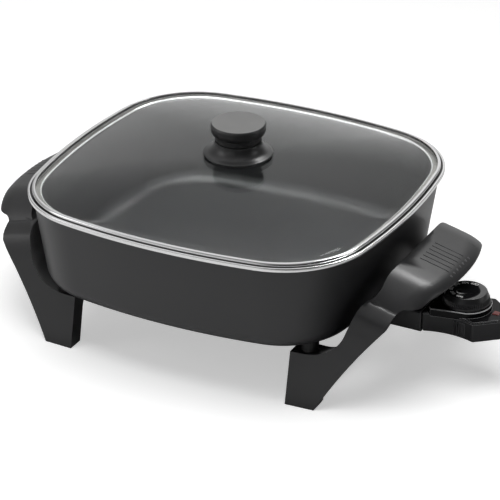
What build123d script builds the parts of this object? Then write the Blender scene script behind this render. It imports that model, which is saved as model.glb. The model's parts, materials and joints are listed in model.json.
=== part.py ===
from build123d import *
import math
import os

# Square electric skillet: cast pan on two moulded handles that are also its legs,
# a domed glass lid that lifts off, and a plug-in temperature control on the +X side.
# Millimetres. +Z up, the table at Z = 0. The pan is drawn centred on X = 0, Y = 0, and
# every piece moves by the same amount in X when it is written, so that the origin ends
# up under the middle of the whole object.

# ---- driving sizes ----

# pan
rim_half_x = 155.5          # lip's outer face at the middle of the left and right sides
rim_half_y = 147.2
rim_corner_radius = 78.0
rim_side_radius = 535.0     # the four sides bulge on this radius
rim_height = 134.3
lip_height = 4.0
lip_overhang = 4.0          # lip stands out from the body by this
lip_land = 1.1              # flat top of the lip outside the lid's recess
ledge_depth = 2.8           # recess that the lid's band sits in
ledge_width = 8.5
underside_height = 52.0
side_draft = 11.5           # the body is this much narrower at its underside
wall = 4.0
floor_thickness = 5.0
body_fillet = 17.0
edge_round = 0.8

# heater under the pan
element_radius = 3.5
element_sink = 0.8          # how far the tube is let into the pan's floor
element_loop_x = 85.0
element_loop_y = 75.0
element_bend = 32.0
element_feed_bend = 18.0
pin_spacing = 22.0
pin_radius = 2.4
pin_reach = 40.0            # bare pin beyond the end seal
pin_seat = 9.0              # pin inside the heater's tube
seal_radius = 4.3
seal_length = 6.0
ridge_width = 13.0
ridge_cover = 1.8           # ridge reaches below the tube's axis by this
ridge_end_gap = 4.0         # bare tube between the ridge and the seal
tube_overrun = 8.0          # tube runs past the flat underside by this
seal_chamfer = 1.0
fit_gap = 0.05              # around pins and screws that are pressed or screwed in place

# sensor bore
sensor_boss_radius = 6.0
sensor_bore_depth = 40.0
sensor_boss_back = 6.0      # solid metal behind the bore
sensor_overrun = 12.0       # bore's mouth beyond the flat underside
probe_radius = 3.2
running_gap = 0.08          # between a sliding or turning round piece and its hole

# handles and legs
handle_boss_drop = 6.0      # pan boss above each spacer
spacer_thickness = 2.0
handle_side_gap = 12.0      # beside the pan's body
handle_wall = 3.2
foot_inset = 56.5           # leg's inner side, inboard of the rim
foot_width = 25.0
foot_floor = 4.0
leg_depth = 15.0
foot_setback = 35.9         # foot's front face, behind the rim's front
leg_lean = 0.21             # leg's face leans back this much for each mm of height
leg_straight_top = 45.0     # height where the leg's face starts to bend
wing_overhang = 50.0        # wing's tip beyond the rim
wing_drop = 28.8            # wing's crown below the rim, at its inner edge
wing_slope = 0.25           # wing falls outwards
wing_crown_half = 38.0
wing_crown_rise = 0.9
wing_ref_inset = 7.5        # the crown's height is set this far from its inner edge
wing_inner_gap = 5.0        # wing's inner edge outside the rim
crease_drop = 19.5          # step where the wing meets the leg, below the crown
crease_half = 74.0
shoulder_half = 85.0
shoulder_drop = 26.5
wing_lip = 4.6              # height of the wing's outer edge
wing_corner_start = 56.0    # the tip's corner turns between these distances from the middle
wing_corner_end = 80.0
wing_tip_sweep = 9.5        # the tip has come in by this where its corner starts
flank_out = 3.0             # the wing's flank stands out from the flare by this
flank_taper = 1.0
flank_length = 4.0
arch_step = 8.0             # upright edge above the leg's flare
arch_round = 8.0
arch_drop = 31.5            # top of the leg's flare, below the crown
arch_inset = 30.5           # the same point, inboard of the wing's tip
arch_lean = 2.0             # the upright edge leans out by this
arch_share = 0.875          # the arch is this high for its width
arch_tilt = 0.1             # and leaves the upright edge at this tilt
flare_bow = 2.8
opening_drop = 27.0         # top of the gap between the legs, below the crown
opening_knee = 36.0         # height where its sides start to close in
opening_knee_round = 24.0
opening_lean = 0.95         # above the knee they close in this much for each mm of height
opening_round = 16.0
wing_edge_round = 3.7       # along the wing's outer edge
wing_root_round = 4.5       # along its inner edge
step_inset = 4.0            # top of the leg's inner side, inside the rim
step_drop = 17.5            # the same point, below the crown
step_curve_rise = 11.5      # height of the curve from there to the wing's inner edge
step_curve_bow = 2.5
curve_share = 0.4           # share of its height where the curve bows most
root_share = 0.85           # the inner edge's round is a little narrower than it is high
groove_count = 6
groove_pitch = 6.0
groove_width = 0.9
groove_depth = 0.7
groove_length = 26.0
groove_inset = 10.5         # grooves start this far from the wing's inner edge
handle_screw_radius = 2.0
handle_screw_inset = 13.0   # from the leg's inner side
handle_boss_radius = 7.0
handle_boss_setback = 9.6   # behind the leg's face
handle_boss_height = 15.0
rib_thickness = 2.4
rib_margin = 2.0            # rib stops short of the boss's ends
screw_head_radius = 3.8
screw_head_height = 2.6
screw_bite = 5.0            # screw thread inside the pan's boss
boss_clearance = 0.5        # around the pan's bosses where they pass the handle

# probe guard
guard_gap = 1.5             # between guard and pan wall
guard_half_width = 24.0
guard_below_axis = 6.7      # underside of the guard below the pins' axis
guard_top_above_axis = 11.9
guard_wall = 2.0
guard_length = 36.5
guard_screw_y = 26.0
guard_screw_inset = 8.0     # inboard of the end of the flat underside
guard_screw_radius = 1.5
guard_screw_head_radius = 2.8
guard_screw_head_height = 1.8
guard_ear_radius = 5.5
guard_boss_radius = 4.5
guard_edge_round = 2.0

# lid
band_gap = 0.4              # around the band in the pan's recess
seat_gap = 0.1              # under the lid
band_sheet = 0.6
glass_thickness = 4.0
band_cover = 2.2            # how far the band folds over the glass
band_round = 1.5
glass_flat = 9.0            # flat margin of the glass
glass_rise = 17.5
dome_shares = (0.82, 0.6, 0.4)     # sections between the dome's foot and its flat top
knob_top_height = 47.3      # knob's top above the rim
knob_seat_radius = 30.0
skirt_radius = 28.8
skirt_height = 12.6
skirt_rim = 2.3
skirt_neck_radius = 19.6
skirt_edge = 2.0            # skirt's flat rim
skirt_rim_slope = 0.4
skirt_bow = 2.6             # the sweep up to the neck is hollow by this
skirt_bow_share = 0.42
knob_neck_radius = 19.1
knob_neck_height = 4.6
knob_head_radius = 22.9
knob_flat_radius = 21.8
knob_bulge_drop = 3.2       # widest place below the top
knob_cove_radius = 2.4      # hollow between neck and head
knob_cove_height = 2.0
knob_edge = 0.9
knob_groove = 0.8           # shadow line between skirt and grip
knob_screw_radius = 2.5
knob_screw_head_radius = 5.0
knob_screw_head_height = 2.8
knob_screw_bite = 9.0       # screw inside the grip
knob_washer_radius = 9.0
knob_washer_thickness = 1.5

# temperature control
control_gap = 0.4           # seam between guard and control
nose_length = 12.0
nose_gap = 0.35
mouth_gap = 0.3             # around each pin at the nose's face
control_half_width = 24.0
waist_half_width = 20.0
waist_from_front = 30.0
shoulder_from_front = 43.0
tail_from_front = 61.5
tail_half_width = 8.5
control_below_axis = 5.3
case_split_above_axis = 10.7
case_wall = 2.0
case_corner = 3.0
cover_height = 6.8
cover_half_width = 24.6
dial_from_front = 27.0
cover_set_back = 3.0        # plinth's front behind the case's front
cover_corner = 3.0
cover_waist = 2.6
cover_join_round = 10.0
plinth_wall = 3.0
cover_edge = 0.9
plinth_radius = 21.0
plinth_join_angle = 70.0    # where the cover's side runs into the round behind the dial
case_round = 1.6
waist_rib_count = 5
waist_rib_pitch = 2.2
waist_rib_height = 0.8
waist_rib_radius = 0.9
waist_rib_margin = 2.0      # ribs stop short of the case's edges
case_post_radius = 3.0
case_screw_radius = 1.2
case_screw_head_radius = 2.3
case_screw_head_height = 1.6
case_screw_bite = 1.3       # screw inside the cover's post
case_recess_radius = 2.6
case_recess_depth = 2.0
front_post_set_back = 15.5  # front posts behind the case's front
front_post_side_inset = 8.5
rear_post_set_back = 3.0    # rear posts behind the case's shoulder
rear_post_y = 11.5
dial_radius = 19.5
dial_top_radius = 17.6
dial_height = 9.8
dial_gap = 0.4
dial_rib_count = 48
dial_rib_depth = 0.5
dial_notch_width = 1.1
dial_notch_margin = 1.2     # notches stop short of the dial's top
dial_flange = 0.5           # plain ring at the dial's foot
dial_flange_height = 1.6
dial_edge = 0.6
dial_dish_radius = 10.5
dial_dish_depth = 1.2
dial_dish_slope = 1.5
spindle_radius = 2.5
spindle_reach = 9.5         # below the dial
spindle_bite = 5.0          # inside the dial
spindle_chamfer = 0.6
cam_radius = 6.5
cam_thickness = 1.8
cam_nose_radius = 1.6
cam_drop = 1.0              # cam's top below the case's split
probe_reach = 62.0          # probe beyond the nose's root
sleeve_wall = 0.55
sleeve_set_back = 1.5       # sleeve's mouth behind the nose's face
sleeve_end_gap = 2.0        # hollow beyond the pin's tip
probe_end_wall = 3.0
push_rod_radius = 1.0
push_rod_reach = 6.0        # beyond the sleeve block
block_set_back = 3.0        # sleeve block behind the case's front
block_thickness = 8.0
block_margin = 5.0          # block beyond the pins' axes
bracket_reach = 12.0        # thermostat bracket beyond the dial's axis
bracket_half_width = 7.5
bracket_sheet = 1.0
bracket_height = 8.0
leaf_length_past_dial = 8.0
leaf_sheet = 0.5
leaf_width = 4.0
leaf_y = -4.5
leaf_low = 3.0              # lower leaf above the case's floor
leaf_spacing = 2.5
contact_radius = 1.4
contact_gap = 0.1
contact_inset = 2.0         # contacts inboard of the leaves' ends
lamp_radius = 2.2
lamp_length = 9.0
lamp_gap = 0.3
lens_set_back = 5.5         # behind the plinth
lens_half = 3.0
lens_height = 0.8           # above the case
lens_edge = 0.7
gland_radius = 6.6
gland_reach = 14.0
cord_bore_radius = 3.6
gland_flange = 1.4
gland_bite = 5.0            # gland inside the case
gland_tip_wall = 1.6

# working lengths that leave no mark on the shape
over = 1.0                  # cutters run past a face by this
beyond = 20.0               # working solids run past the object by this

# ---- derived places ----

lip_bottom = rim_height - lip_height
ledge_height = rim_height - ledge_depth
pan_floor = underside_height + floor_thickness
draft_slope = side_draft / (lip_bottom - underside_height)
inner_rim_inset = lip_land + ledge_width
inner_fillet = body_fillet - wall

element_axis = underside_height - element_radius + element_sink
pin_y = pin_spacing / 2
# the fillet at the drafted wall's foot takes this much of the underside
fillet_reach = body_fillet * math.tan((math.pi / 2 - math.atan(draft_slope)) / 2)
flat_half_x = rim_half_x - lip_overhang - side_draft - fillet_reach
tube_end = flat_half_x + tube_overrun
ridge_end = tube_end - ridge_end_gap
pin_tip = tube_end + seal_length + pin_reach
sensor_mouth = flat_half_x + sensor_overrun
sensor_bottom = sensor_mouth - sensor_bore_depth

handle_gap = handle_boss_drop + spacer_thickness
ledge_plate_top = underside_height - handle_gap
foot_inner_x = rim_half_x - foot_inset
foot_outer_x = foot_inner_x + foot_width
foot_front_y = rim_half_y - foot_setback
wing_tip_x = rim_half_x + wing_overhang
wing_inner_x = rim_half_x + wing_inner_gap
wing_ref_x = wing_inner_x + wing_ref_inset
crown = rim_height - wing_drop
foot_section_z = wing_slope * (foot_inner_x - wing_ref_x)    # table's height in the section
handle_screw_x = foot_inner_x + handle_screw_inset
handle_boss_bottom = ledge_plate_top - handle_boss_height - handle_wall

guard_bottom = element_axis - guard_below_axis
guard_top = element_axis + guard_top_above_axis


def inset_at(height):
    """How far the body stands inside the rim at a height."""
    return lip_overhang + (lip_bottom - height) * draft_slope


def leg_face_y(x, z):
    """Where the leg's straight front face is at a place."""
    return foot_front_y - leg_lean * (z + wing_slope * (x - foot_inner_x))


handle_screw_y = leg_face_y(handle_screw_x, ledge_plate_top) - handle_boss_setback
guard_back = rim_half_x - inset_at(guard_top) + guard_gap
guard_front = guard_back + guard_length
guard_screw_x = flat_half_x - guard_screw_inset

band_inset = lip_land + band_gap
band_bottom = ledge_height + seat_gap
band_height = glass_thickness + 2 * band_sheet
glass_bottom = band_bottom + band_sheet
glass_edge_top = glass_bottom + glass_thickness
glass_inset = band_inset + band_sheet + fit_gap
glass_top = glass_edge_top + glass_rise
knob_top = rim_height + knob_top_height
skirt_top = glass_top + skirt_height

control_front = guard_front + control_gap
control_bottom = element_axis - control_below_axis
case_split = element_axis + case_split_above_axis
cover_top = case_split + cover_height
dial_x = control_front + dial_from_front
dial_bottom = cover_top + dial_gap
dial_top = dial_bottom + dial_height
spindle_bottom = dial_bottom - spindle_reach
tail_end = control_front + tail_from_front
probe_tip = control_front - probe_reach
nose_tip = control_front - nose_length
sleeve_mouth = nose_tip + sleeve_set_back
sleeve_radius = pin_radius + running_gap + sleeve_wall
block_x = control_front + block_set_back
gland_end = tail_end + gland_reach

front_post_x = control_front + front_post_set_back
front_post_y = control_half_width - front_post_side_inset
rear_post_x = control_front + shoulder_from_front + rear_post_set_back
gland_axis = (control_bottom + case_split) / 2
lens_x = dial_x + plinth_radius + lens_set_back
bracket_start = block_x + block_thickness
bracket_end = dial_x + bracket_reach
case_floor = control_bottom + case_wall
push_rod_end = bracket_start + push_rod_reach

# the whole object's middle in X
middle_x = (gland_end - wing_tip_x) / 2


# ---- helpers ----

side_centre_x = rim_half_x - rim_side_radius
side_centre_y = rim_half_y - rim_side_radius
centre_reach = rim_side_radius - rim_corner_radius
half_chord = math.hypot(side_centre_x, side_centre_y) / 2
lift = math.sqrt(centre_reach ** 2 - half_chord ** 2)
corner_x = side_centre_x / 2 - side_centre_y / (2 * half_chord) * lift
corner_y = side_centre_y / 2 - side_centre_x / (2 * half_chord) * lift


def pan_outline(inset, height=0.0):
    """Square with bulging sides and round corners, parallel to the rim, as a face."""
    side = rim_side_radius - inset
    corner = rim_corner_radius - inset
    to_x = Vector(corner_x - side_centre_x, corner_y).normalized()
    to_y = Vector(corner_x, corner_y - side_centre_y).normalized()
    on_x = Vector(side_centre_x, 0) + to_x * side
    on_y = Vector(0, side_centre_y) + to_y * side
    mid = Vector(corner_x, corner_y) + (to_x + to_y).normalized() * corner
    half_x = rim_half_x - inset
    half_y = rim_half_y - inset
    edges = [
        ThreePointArc((on_x.X, -on_x.Y), (half_x, 0), (on_x.X, on_x.Y)),
        ThreePointArc((on_x.X, on_x.Y), (mid.X, mid.Y), (on_y.X, on_y.Y)),
        ThreePointArc((on_y.X, on_y.Y), (0, half_y), (-on_y.X, on_y.Y)),
        ThreePointArc((-on_y.X, on_y.Y), (-mid.X, mid.Y), (-on_x.X, on_x.Y)),
        ThreePointArc((-on_x.X, on_x.Y), (-half_x, 0), (-on_x.X, -on_x.Y)),
        ThreePointArc((-on_x.X, -on_x.Y), (-mid.X, -mid.Y), (-on_y.X, -on_y.Y)),
        ThreePointArc((-on_y.X, -on_y.Y), (0, -half_y), (on_y.X, -on_y.Y)),
        ThreePointArc((on_y.X, -on_y.Y), (mid.X, -mid.Y), (on_x.X, -on_x.Y)),
    ]
    return Pos(0, 0, height) * make_face(edges)


def slab(inset, low, high, top_round=0.0):
    """Straight-sided block with the pan's outline and a rounded top edge."""
    shape = extrude(pan_outline(inset, low), high - low)
    return fillet(shape.edges().group_by(Axis.Z)[-1], top_round) if top_round else shape


def tub(grow, low, high, fillet_radius):
    """The body's drafted outer shape, grown sideways, with its bottom edge rounded."""
    shape = loft(
        [pan_outline(inset_at(low) - grow, low), pan_outline(inset_at(high) - grow, high)],
        ruled=True,
    )
    return fillet(shape.edges().group_by(Axis.Z)[0], fillet_radius)


def rod(radius, low, high, x=0.0, y=0.0):
    """Upright cylinder between two heights."""
    return Pos(x, y, (low + high) / 2) * Cylinder(radius, high - low)


def rod_x(radius, start, end, y=0.0, z=0.0):
    """Cylinder along X between two places."""
    return Pos((start + end) / 2, y, z) * Rot(0, 90, 0) * Cylinder(radius, end - start)


def block(x0, x1, y0, y1, z0, z1):
    """Box from its six faces."""
    return Pos((x0 + x1) / 2, (y0 + y1) / 2, (z0 + z1) / 2) * Box(x1 - x0, y1 - y0, z1 - z0)


def write(name, *solids):
    """Moves a node's solids to the object's own origin and writes them."""
    placed = [Pos(-middle_x, 0, 0) * solid for shape in solids for solid in shape.solids()]
    node = placed[0] if len(placed) == 1 else Compound(children=placed)
    export_step(node, f"parts/{name}.step")


handle_spots = [
    (side * handle_screw_x, end * handle_screw_y) for side in (-1, 1) for end in (-1, 1)
]
guard_spots = [(guard_screw_x, -guard_screw_y), (guard_screw_x, guard_screw_y)]


# ---- pan ----

def element_path():
    """Centre line of the heater: one loop with both ends out of the +X side."""
    left = -element_loop_x
    right = element_loop_x - element_feed_bend / 2
    corners = [
        (tube_end, -pin_y), (right, -pin_y), (right, -element_loop_y), (left, -element_loop_y),
        (left, element_loop_y), (right, element_loop_y), (right, pin_y), (tube_end, pin_y),
    ]
    radii = [element_feed_bend, element_bend, element_bend, element_bend, element_bend,
             element_feed_bend]
    return FilletPolyline([(x, y, element_axis) for x, y in corners], radius=radii)


def element_tube(path):
    """Round tube along the heater's centre line."""
    return sweep(Plane(path @ 0, z_dir=path % 0) * Circle(element_radius), path=path)


def build_pan(path, tube):
    body = tub(0, underside_height, lip_bottom, body_fillet)
    lip = slab(0, lip_bottom, rim_height, edge_round / 2)
    lip = fillet(lip.edges().group_by(Axis.Z)[0], edge_round)
    shell = body + lip
    into_floor = underside_height + floor_thickness / 2
    boss_top = underside_height + body_fillet / 2
    boss_bottom = underside_height - handle_boss_drop
    for x, y in handle_spots:
        shell += rod(handle_boss_radius, boss_bottom, boss_top, x, y)
    for x, y in guard_spots:
        shell += rod(guard_boss_radius, guard_bottom + guard_wall, into_floor, x, y)
    ridge_bottom = element_axis - ridge_cover
    ridge = extrude(
        Pos(0, 0, ridge_bottom - element_axis) * trace(path, ridge_width),
        into_floor - ridge_bottom,
    )
    ridge -= block(ridge_end, tube_end + beyond, -rim_half_y, rim_half_y, 0, rim_height)
    shell += ridge
    sensor_back = sensor_bottom - sensor_boss_back
    shell += rod_x(sensor_boss_radius, sensor_back, sensor_mouth, 0, element_axis)
    shell -= tub(-wall, pan_floor, rim_height, inner_fillet) & slab(
        inner_rim_inset, pan_floor - over, rim_height + over
    )
    shell -= slab(lip_land, ledge_height, rim_height + over)
    shell -= tube
    shell -= rod_x(probe_radius + running_gap, sensor_bottom, sensor_mouth + over, 0, element_axis)
    hole_top = boss_bottom + screw_bite
    for x, y in handle_spots:
        shell -= rod(handle_screw_radius + fit_gap, boss_bottom - over, hole_top, x, y)
    hole_top = guard_bottom + guard_wall + screw_bite
    for x, y in guard_spots:
        shell -= rod(guard_screw_radius + fit_gap, guard_bottom, hole_top, x, y)
    return shell


def build_element(tube):
    for y in (-pin_y, pin_y):
        tube -= rod_x(pin_radius + fit_gap, tube_end - pin_seat, tube_end + over, y, element_axis)
    return tube


def build_pins():
    pins = []
    for y in (-pin_y, pin_y):
        pin = rod_x(pin_radius, tube_end - pin_seat, pin_tip, y, element_axis)
        pins.append(chamfer(pin.edges().group_by(Axis.X)[-1], pin_radius / 3))
    return pins


def build_seals():
    seals = []
    for y in (-pin_y, pin_y):
        seal = rod_x(seal_radius, tube_end, tube_end + seal_length, y, element_axis)
        seal = chamfer(seal.edges().group_by(Axis.X)[-1], seal_chamfer)
        seals.append(seal - rod_x(pin_radius + fit_gap, tube_end - over, pin_tip, y, element_axis))
    return seals


# ---- handles ----

def handle_side(shrink):
    """Front-to-back section of a handle as a face in the YZ plane, shrunk by a wall."""
    leg_bottom_z = foot_section_z - beyond
    leg_top_y = foot_front_y - leg_lean * (leg_straight_top - foot_section_z)
    leg_top = (leg_top_y, leg_straight_top)
    leg_bottom = (foot_front_y + leg_lean * beyond, leg_bottom_z)
    shoulder = (shoulder_half, crown - shoulder_drop)
    crease = (crease_half, crown - crease_drop)
    crown_edge = (wing_crown_half, crown - wing_crown_rise)
    leg = Line(leg_bottom, leg_top)
    bend = TangentArc(leg_top, shoulder, tangent=leg % 1)
    roll_over = TangentArc(shoulder, crease, tangent=bend % 1)
    half_crown = ThreePointArc(
        (-wing_crown_half, crown - wing_crown_rise), (0, crown), crown_edge
    )
    wing_front = TangentArc(crown_edge, crease, tangent=half_crown % 1)
    half = [leg, bend, roll_over, wing_front]
    other = [edge.mirror(Plane.YZ) for edge in half]
    base = Line(leg_bottom, (-leg_bottom[0], leg_bottom[1]))
    face = make_face([*half, half_crown, *other, base])
    if shrink:
        face = offset(face, -shrink)
    return Plane.YZ * face


def sheared(face):
    """Extrudes a YZ section outwards along the wing's slope."""
    reach = wing_tip_x + beyond
    start = Pos(0, 0, wing_slope * wing_ref_x) * face
    along = Vector(1, 0, -wing_slope)
    return extrude(start, reach * along.length, dir=along)


def handle_plan(shrink):
    """Outer edge of a handle seen from above, as a face."""
    flank_x = wing_tip_x - arch_inset + flank_out
    flank_end = (flank_x, wing_corner_end + flank_length)
    tip_to_corner = TangentArc(
        (wing_tip_x, 0), (wing_tip_x - wing_tip_sweep, wing_corner_start), tangent=(0, 1)
    )
    corner = TangentArc(
        tip_to_corner @ 1, (flank_x + flank_taper, wing_corner_end), tangent=tip_to_corner % 1
    )
    far = rim_half_y + beyond
    lines = [
        tip_to_corner,
        corner,
        Line(corner @ 1, flank_end),
        Line(flank_end, (flank_x, far)),
        Line((flank_x, far), (0, far)),
    ]
    other = [edge.mirror(Plane.XZ) for edge in lines]
    face = make_face([*lines, *other, Line((0, far), (0, -far))])
    if shrink:
        face = offset(face, -shrink)
    return extrude(face, rim_height + beyond)


def handle_front(inner_shift, low, open_below):
    """Handle's outline seen from the front, as a solid that runs the whole depth."""
    flare_x = wing_tip_x - arch_inset
    flare_z = crown - arch_drop
    inner_x = foot_inner_x + inner_shift
    wing_x = wing_inner_x + inner_shift
    step_x = rim_half_x - step_inset + inner_shift
    step_z = crown - step_drop
    curve_top = step_z + step_curve_rise
    top = rim_height + beyond
    root_z = crown - wing_slope * (wing_inner_x - wing_ref_x)
    root_start = (wing_x, root_z - wing_root_round)
    root_end = (wing_x + wing_root_round * root_share, root_z)
    far = wing_tip_x + beyond
    inner = [
        Line((inner_x, low), (inner_x, step_z)),
        Line((inner_x, step_z), (step_x, step_z)),
        ThreePointArc(
            (step_x, step_z),
            (wing_x - step_curve_bow, step_z + step_curve_rise * curve_share),
            (wing_x, curve_top),
        ),
        Line((wing_x, curve_top), root_start),
        TangentArc(root_start, root_end, tangent=(0, 1)),
        Line(root_end, (root_end[0], top)),
        Line((root_end[0], top), (far, top)),
    ]
    if open_below:
        outer = [Line((far, top), (far, low)), Line((far, low), (inner_x, low))]
    else:
        tip = (wing_tip_x, crown - wing_slope * (wing_tip_x - wing_ref_x) - wing_lip)
        mid_x = (foot_outer_x + flare_x) / 2 - flare_bow
        flare = ThreePointArc((foot_outer_x, 0), (mid_x, flare_z / 2), (flare_x, flare_z))
        step_top = (flare_x + arch_lean, flare_z + arch_step - arch_lean)
        arch_end = (step_top[0] + arch_round, step_top[1] + arch_round * arch_share)
        outer = [
            Line((far, top), (far, tip[1] + arch_lean)),
            Line((far, tip[1] + arch_lean), tip),
            Line(tip, arch_end),
            TangentArc(step_top, arch_end, tangent=(arch_tilt, 1)),
            Line(step_top, (flare_x, flare_z)),
            flare,
            Line((foot_outer_x, 0), (inner_x, 0)),
        ]
    face = Plane.XZ * make_face([*inner, *outer])
    return extrude(face, foot_front_y + beyond, both=True)


def leg_gap():
    """Space between the two legs, cut through the handle's inner side."""
    low = foot_front_y - leg_depth
    high_z = crown - opening_drop
    knee = low - leg_lean * opening_knee
    high = knee - opening_lean * (high_z - opening_knee)
    right = [(low, -over), (knee, opening_knee), (high, high_z)]
    left = [(-y, z) for y, z in reversed(right)]
    sketch = make_face(Polyline(*right, *left, close=True))
    corners = sketch.vertices().group_by(Axis.Y)
    sketch = fillet(corners[1], opening_knee_round)
    sketch = fillet(sketch.vertices().group_by(Axis.Y)[-1], opening_round)
    cut_x = foot_inner_x - over
    return Pos(cut_x, 0, 0) * extrude(Plane.YZ * sketch, wing_tip_x - cut_x + over)


def build_handle():
    """The +X handle: a shell with a front leg, a rear leg and a wing grip between them."""
    side = handle_side_gap
    round_off = body_fillet + handle_gap
    clear = tub(side, ledge_plate_top, lip_bottom, round_off)
    clear_wall = tub(
        side + handle_wall, ledge_plate_top - handle_wall, lip_bottom, round_off + handle_wall
    )
    outside = sheared(handle_side(0)) & handle_front(0, 0, False) & handle_plan(0)
    outside -= clear
    tip = Vector(wing_tip_x, 0, crown - wing_slope * (wing_tip_x - wing_ref_x))
    outside = fillet(outside.edges().sort_by_distance(tip)[0], wing_edge_round)
    hollow = sheared(handle_side(handle_wall)) & handle_front(handle_wall, foot_floor, True)
    hollow = (hollow & handle_plan(handle_wall)) - clear_wall
    shell = outside - hollow - leg_gap()
    for end in (-1, 1):
        y = end * handle_screw_y
        boss = rod(handle_boss_radius, handle_boss_bottom, ledge_plate_top, handle_screw_x, y)
        rib_z = (handle_boss_bottom + rib_margin, ledge_plate_top - handle_wall / 2)
        half = rib_thickness / 2
        front = end * (leg_face_y(handle_screw_x, ledge_plate_top) - handle_wall / 2)
        boss += block(
            handle_screw_x - half, handle_screw_x + half, min(y, front), max(y, front), *rib_z
        ) & outside
        boss += block(
            foot_inner_x + handle_wall / 2, handle_screw_x, y - half, y + half, *rib_z
        )
        shell += boss
        shell -= rod(
            handle_boss_radius + boss_clearance, ledge_plate_top, underside_height,
            handle_screw_x, y,
        )
        shell -= rod(
            handle_screw_radius + fit_gap, 0, underside_height, handle_screw_x, y
        )
    for index in range(groove_count):
        y = (index - (groove_count - 1) / 2) * groove_pitch
        start = wing_inner_x + groove_inset
        drop = math.degrees(math.atan(wing_slope))
        middle = start + groove_length / 2
        height = crown - wing_slope * (middle - wing_ref_x)
        cutter = Box(groove_length, groove_width, 2 * groove_depth)
        shell -= Pos(middle, y, height) * Rot(0, drop, 0) * cutter
    return shell


def build_spacers():
    spacers = []
    for x, y in handle_spots:
        ring = rod(handle_boss_radius, ledge_plate_top, ledge_plate_top + spacer_thickness, x, y)
        hole = rod(handle_screw_radius + fit_gap, 0, underside_height, x, y)
        spacers.append(ring - hole)
    return spacers


def pan_head_screw(radius, head_radius, head_height, low, high, x, y):
    """Screw that points up: domed head below, cross recess, plain shank."""
    head = rod(head_radius, low - head_height, low, x, y)
    head = fillet(head.edges().group_by(Axis.Z)[0], head_height / 2)
    cross = Box(head_radius, head_radius / 4, head_height) + Box(
        head_radius / 4, head_radius, head_height
    )
    return head + rod(radius, low, high, x, y) - Pos(x, y, low - head_height) * cross


def build_handle_screws(side):
    top = underside_height - handle_boss_drop + screw_bite
    return [
        pan_head_screw(
            handle_screw_radius, screw_head_radius, screw_head_height, handle_boss_bottom, top,
            x, y,
        )
        for x, y in handle_spots if x * side > 0
    ]


# ---- probe guard ----

def build_guard():
    half = guard_half_width
    box = block(guard_back, guard_front, -half, half, guard_bottom, guard_top)
    box = fillet(box.edges().filter_by(Axis.X), guard_edge_round)
    inner = half - guard_wall
    box -= block(
        guard_back - over, guard_front + over, -inner, inner, guard_bottom + guard_wall,
        guard_top - guard_wall,
    )
    plate_top = guard_bottom + guard_wall
    for x, y in guard_spots:
        side = math.copysign(1, y)
        inside = side * (guard_screw_y - guard_ear_radius)
        outside = side * half
        low, high = min(inside, outside), max(inside, outside)
        box += block(x, guard_back + 2 * guard_wall, low, high, guard_bottom, plate_top)
        box += rod(guard_ear_radius, guard_bottom, plate_top, x, y)
        box -= rod(guard_screw_radius + fit_gap, 0, underside_height, x, y)
    return box


def build_guard_screws():
    top = guard_bottom + guard_wall + screw_bite
    return [
        pan_head_screw(
            guard_screw_radius, guard_screw_head_radius, guard_screw_head_height, guard_bottom,
            top, x, y,
        )
        for x, y in guard_spots
    ]


# ---- lid ----

def dome(low, margin):
    """Domed block over the lid's outline: a low cap that ends in a round flat top."""
    half_x = rim_half_x - margin
    top_scale = knob_seat_radius / half_x
    sections = []
    for share in (1.0, *dome_shares, top_scale):
        rise = glass_rise * (1 - share ** 2) / (1 - top_scale ** 2)
        section = scale(pan_outline(margin), by=(share, share, 1))
        sections.append(Pos(0, 0, low + rise) * section)
    return loft(sections)


def build_glass():
    margin = glass_inset + glass_flat
    glass = slab(glass_inset, glass_bottom, glass_edge_top, band_round - band_sheet)
    glass += dome(glass_edge_top, margin)
    glass -= dome(glass_bottom, margin)
    return glass - rod(knob_screw_radius + running_gap, glass_bottom, glass_top + over)


def build_band():
    cover = band_inset + band_cover
    band = slab(band_inset, band_bottom, band_bottom + band_height, band_round)
    band -= slab(cover, band_bottom - over, band_bottom + band_height + over)
    return band - slab(
        glass_inset - fit_gap, glass_bottom, glass_edge_top, band_round - band_sheet
    )


def build_knob_skirt():
    rim_top = glass_top + skirt_rim
    rim_inner = (skirt_radius - skirt_edge, rim_top + skirt_rim_slope)
    rim_start = (skirt_radius - edge_round, glass_top)
    rim_end = (skirt_radius - edge_round, rim_top)
    neck = (skirt_neck_radius, skirt_top)
    bow = (skirt_neck_radius + skirt_bow, glass_top + skirt_height * skirt_bow_share)
    edges = [
        Line((0, glass_top), rim_start),
        ThreePointArc(rim_start, (skirt_radius, glass_top + skirt_rim / 2), rim_end),
        Line(rim_end, rim_inner),
        ThreePointArc(rim_inner, bow, neck),
        Line(neck, (0, skirt_top)),
        Line((0, skirt_top), (0, glass_top)),
    ]
    skirt = revolve(Plane.XZ * make_face(edges), Axis.Z)
    return skirt - rod(knob_screw_radius + fit_gap, glass_top - over, skirt_top + over)


def build_knob_grip():
    neck_top = skirt_top + knob_neck_height
    foot_radius = knob_neck_radius - knob_groove
    groove_top = skirt_top + knob_groove
    bulge = (knob_head_radius, knob_top - knob_bulge_drop)
    cove = (knob_neck_radius + knob_cove_radius, neck_top + knob_cove_height)
    shoulder = (knob_head_radius - knob_edge / 3, knob_top - knob_edge)
    edges = [
        Line((0, skirt_top), (foot_radius, skirt_top)),
        Line((foot_radius, skirt_top), (foot_radius, groove_top)),
        Line((foot_radius, groove_top), (knob_neck_radius, groove_top)),
        Line((knob_neck_radius, groove_top), (knob_neck_radius, neck_top)),
        ThreePointArc((knob_neck_radius, neck_top), cove, bulge),
        ThreePointArc(bulge, shoulder, (knob_flat_radius, knob_top)),
        Line((knob_flat_radius, knob_top), (0, knob_top)),
        Line((0, knob_top), (0, skirt_top)),
    ]
    grip = revolve(Plane.XZ * make_face(edges), Axis.Z)
    hole_top = skirt_top + knob_screw_bite
    return grip - rod(knob_screw_radius + fit_gap, skirt_top - over, hole_top)


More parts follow.
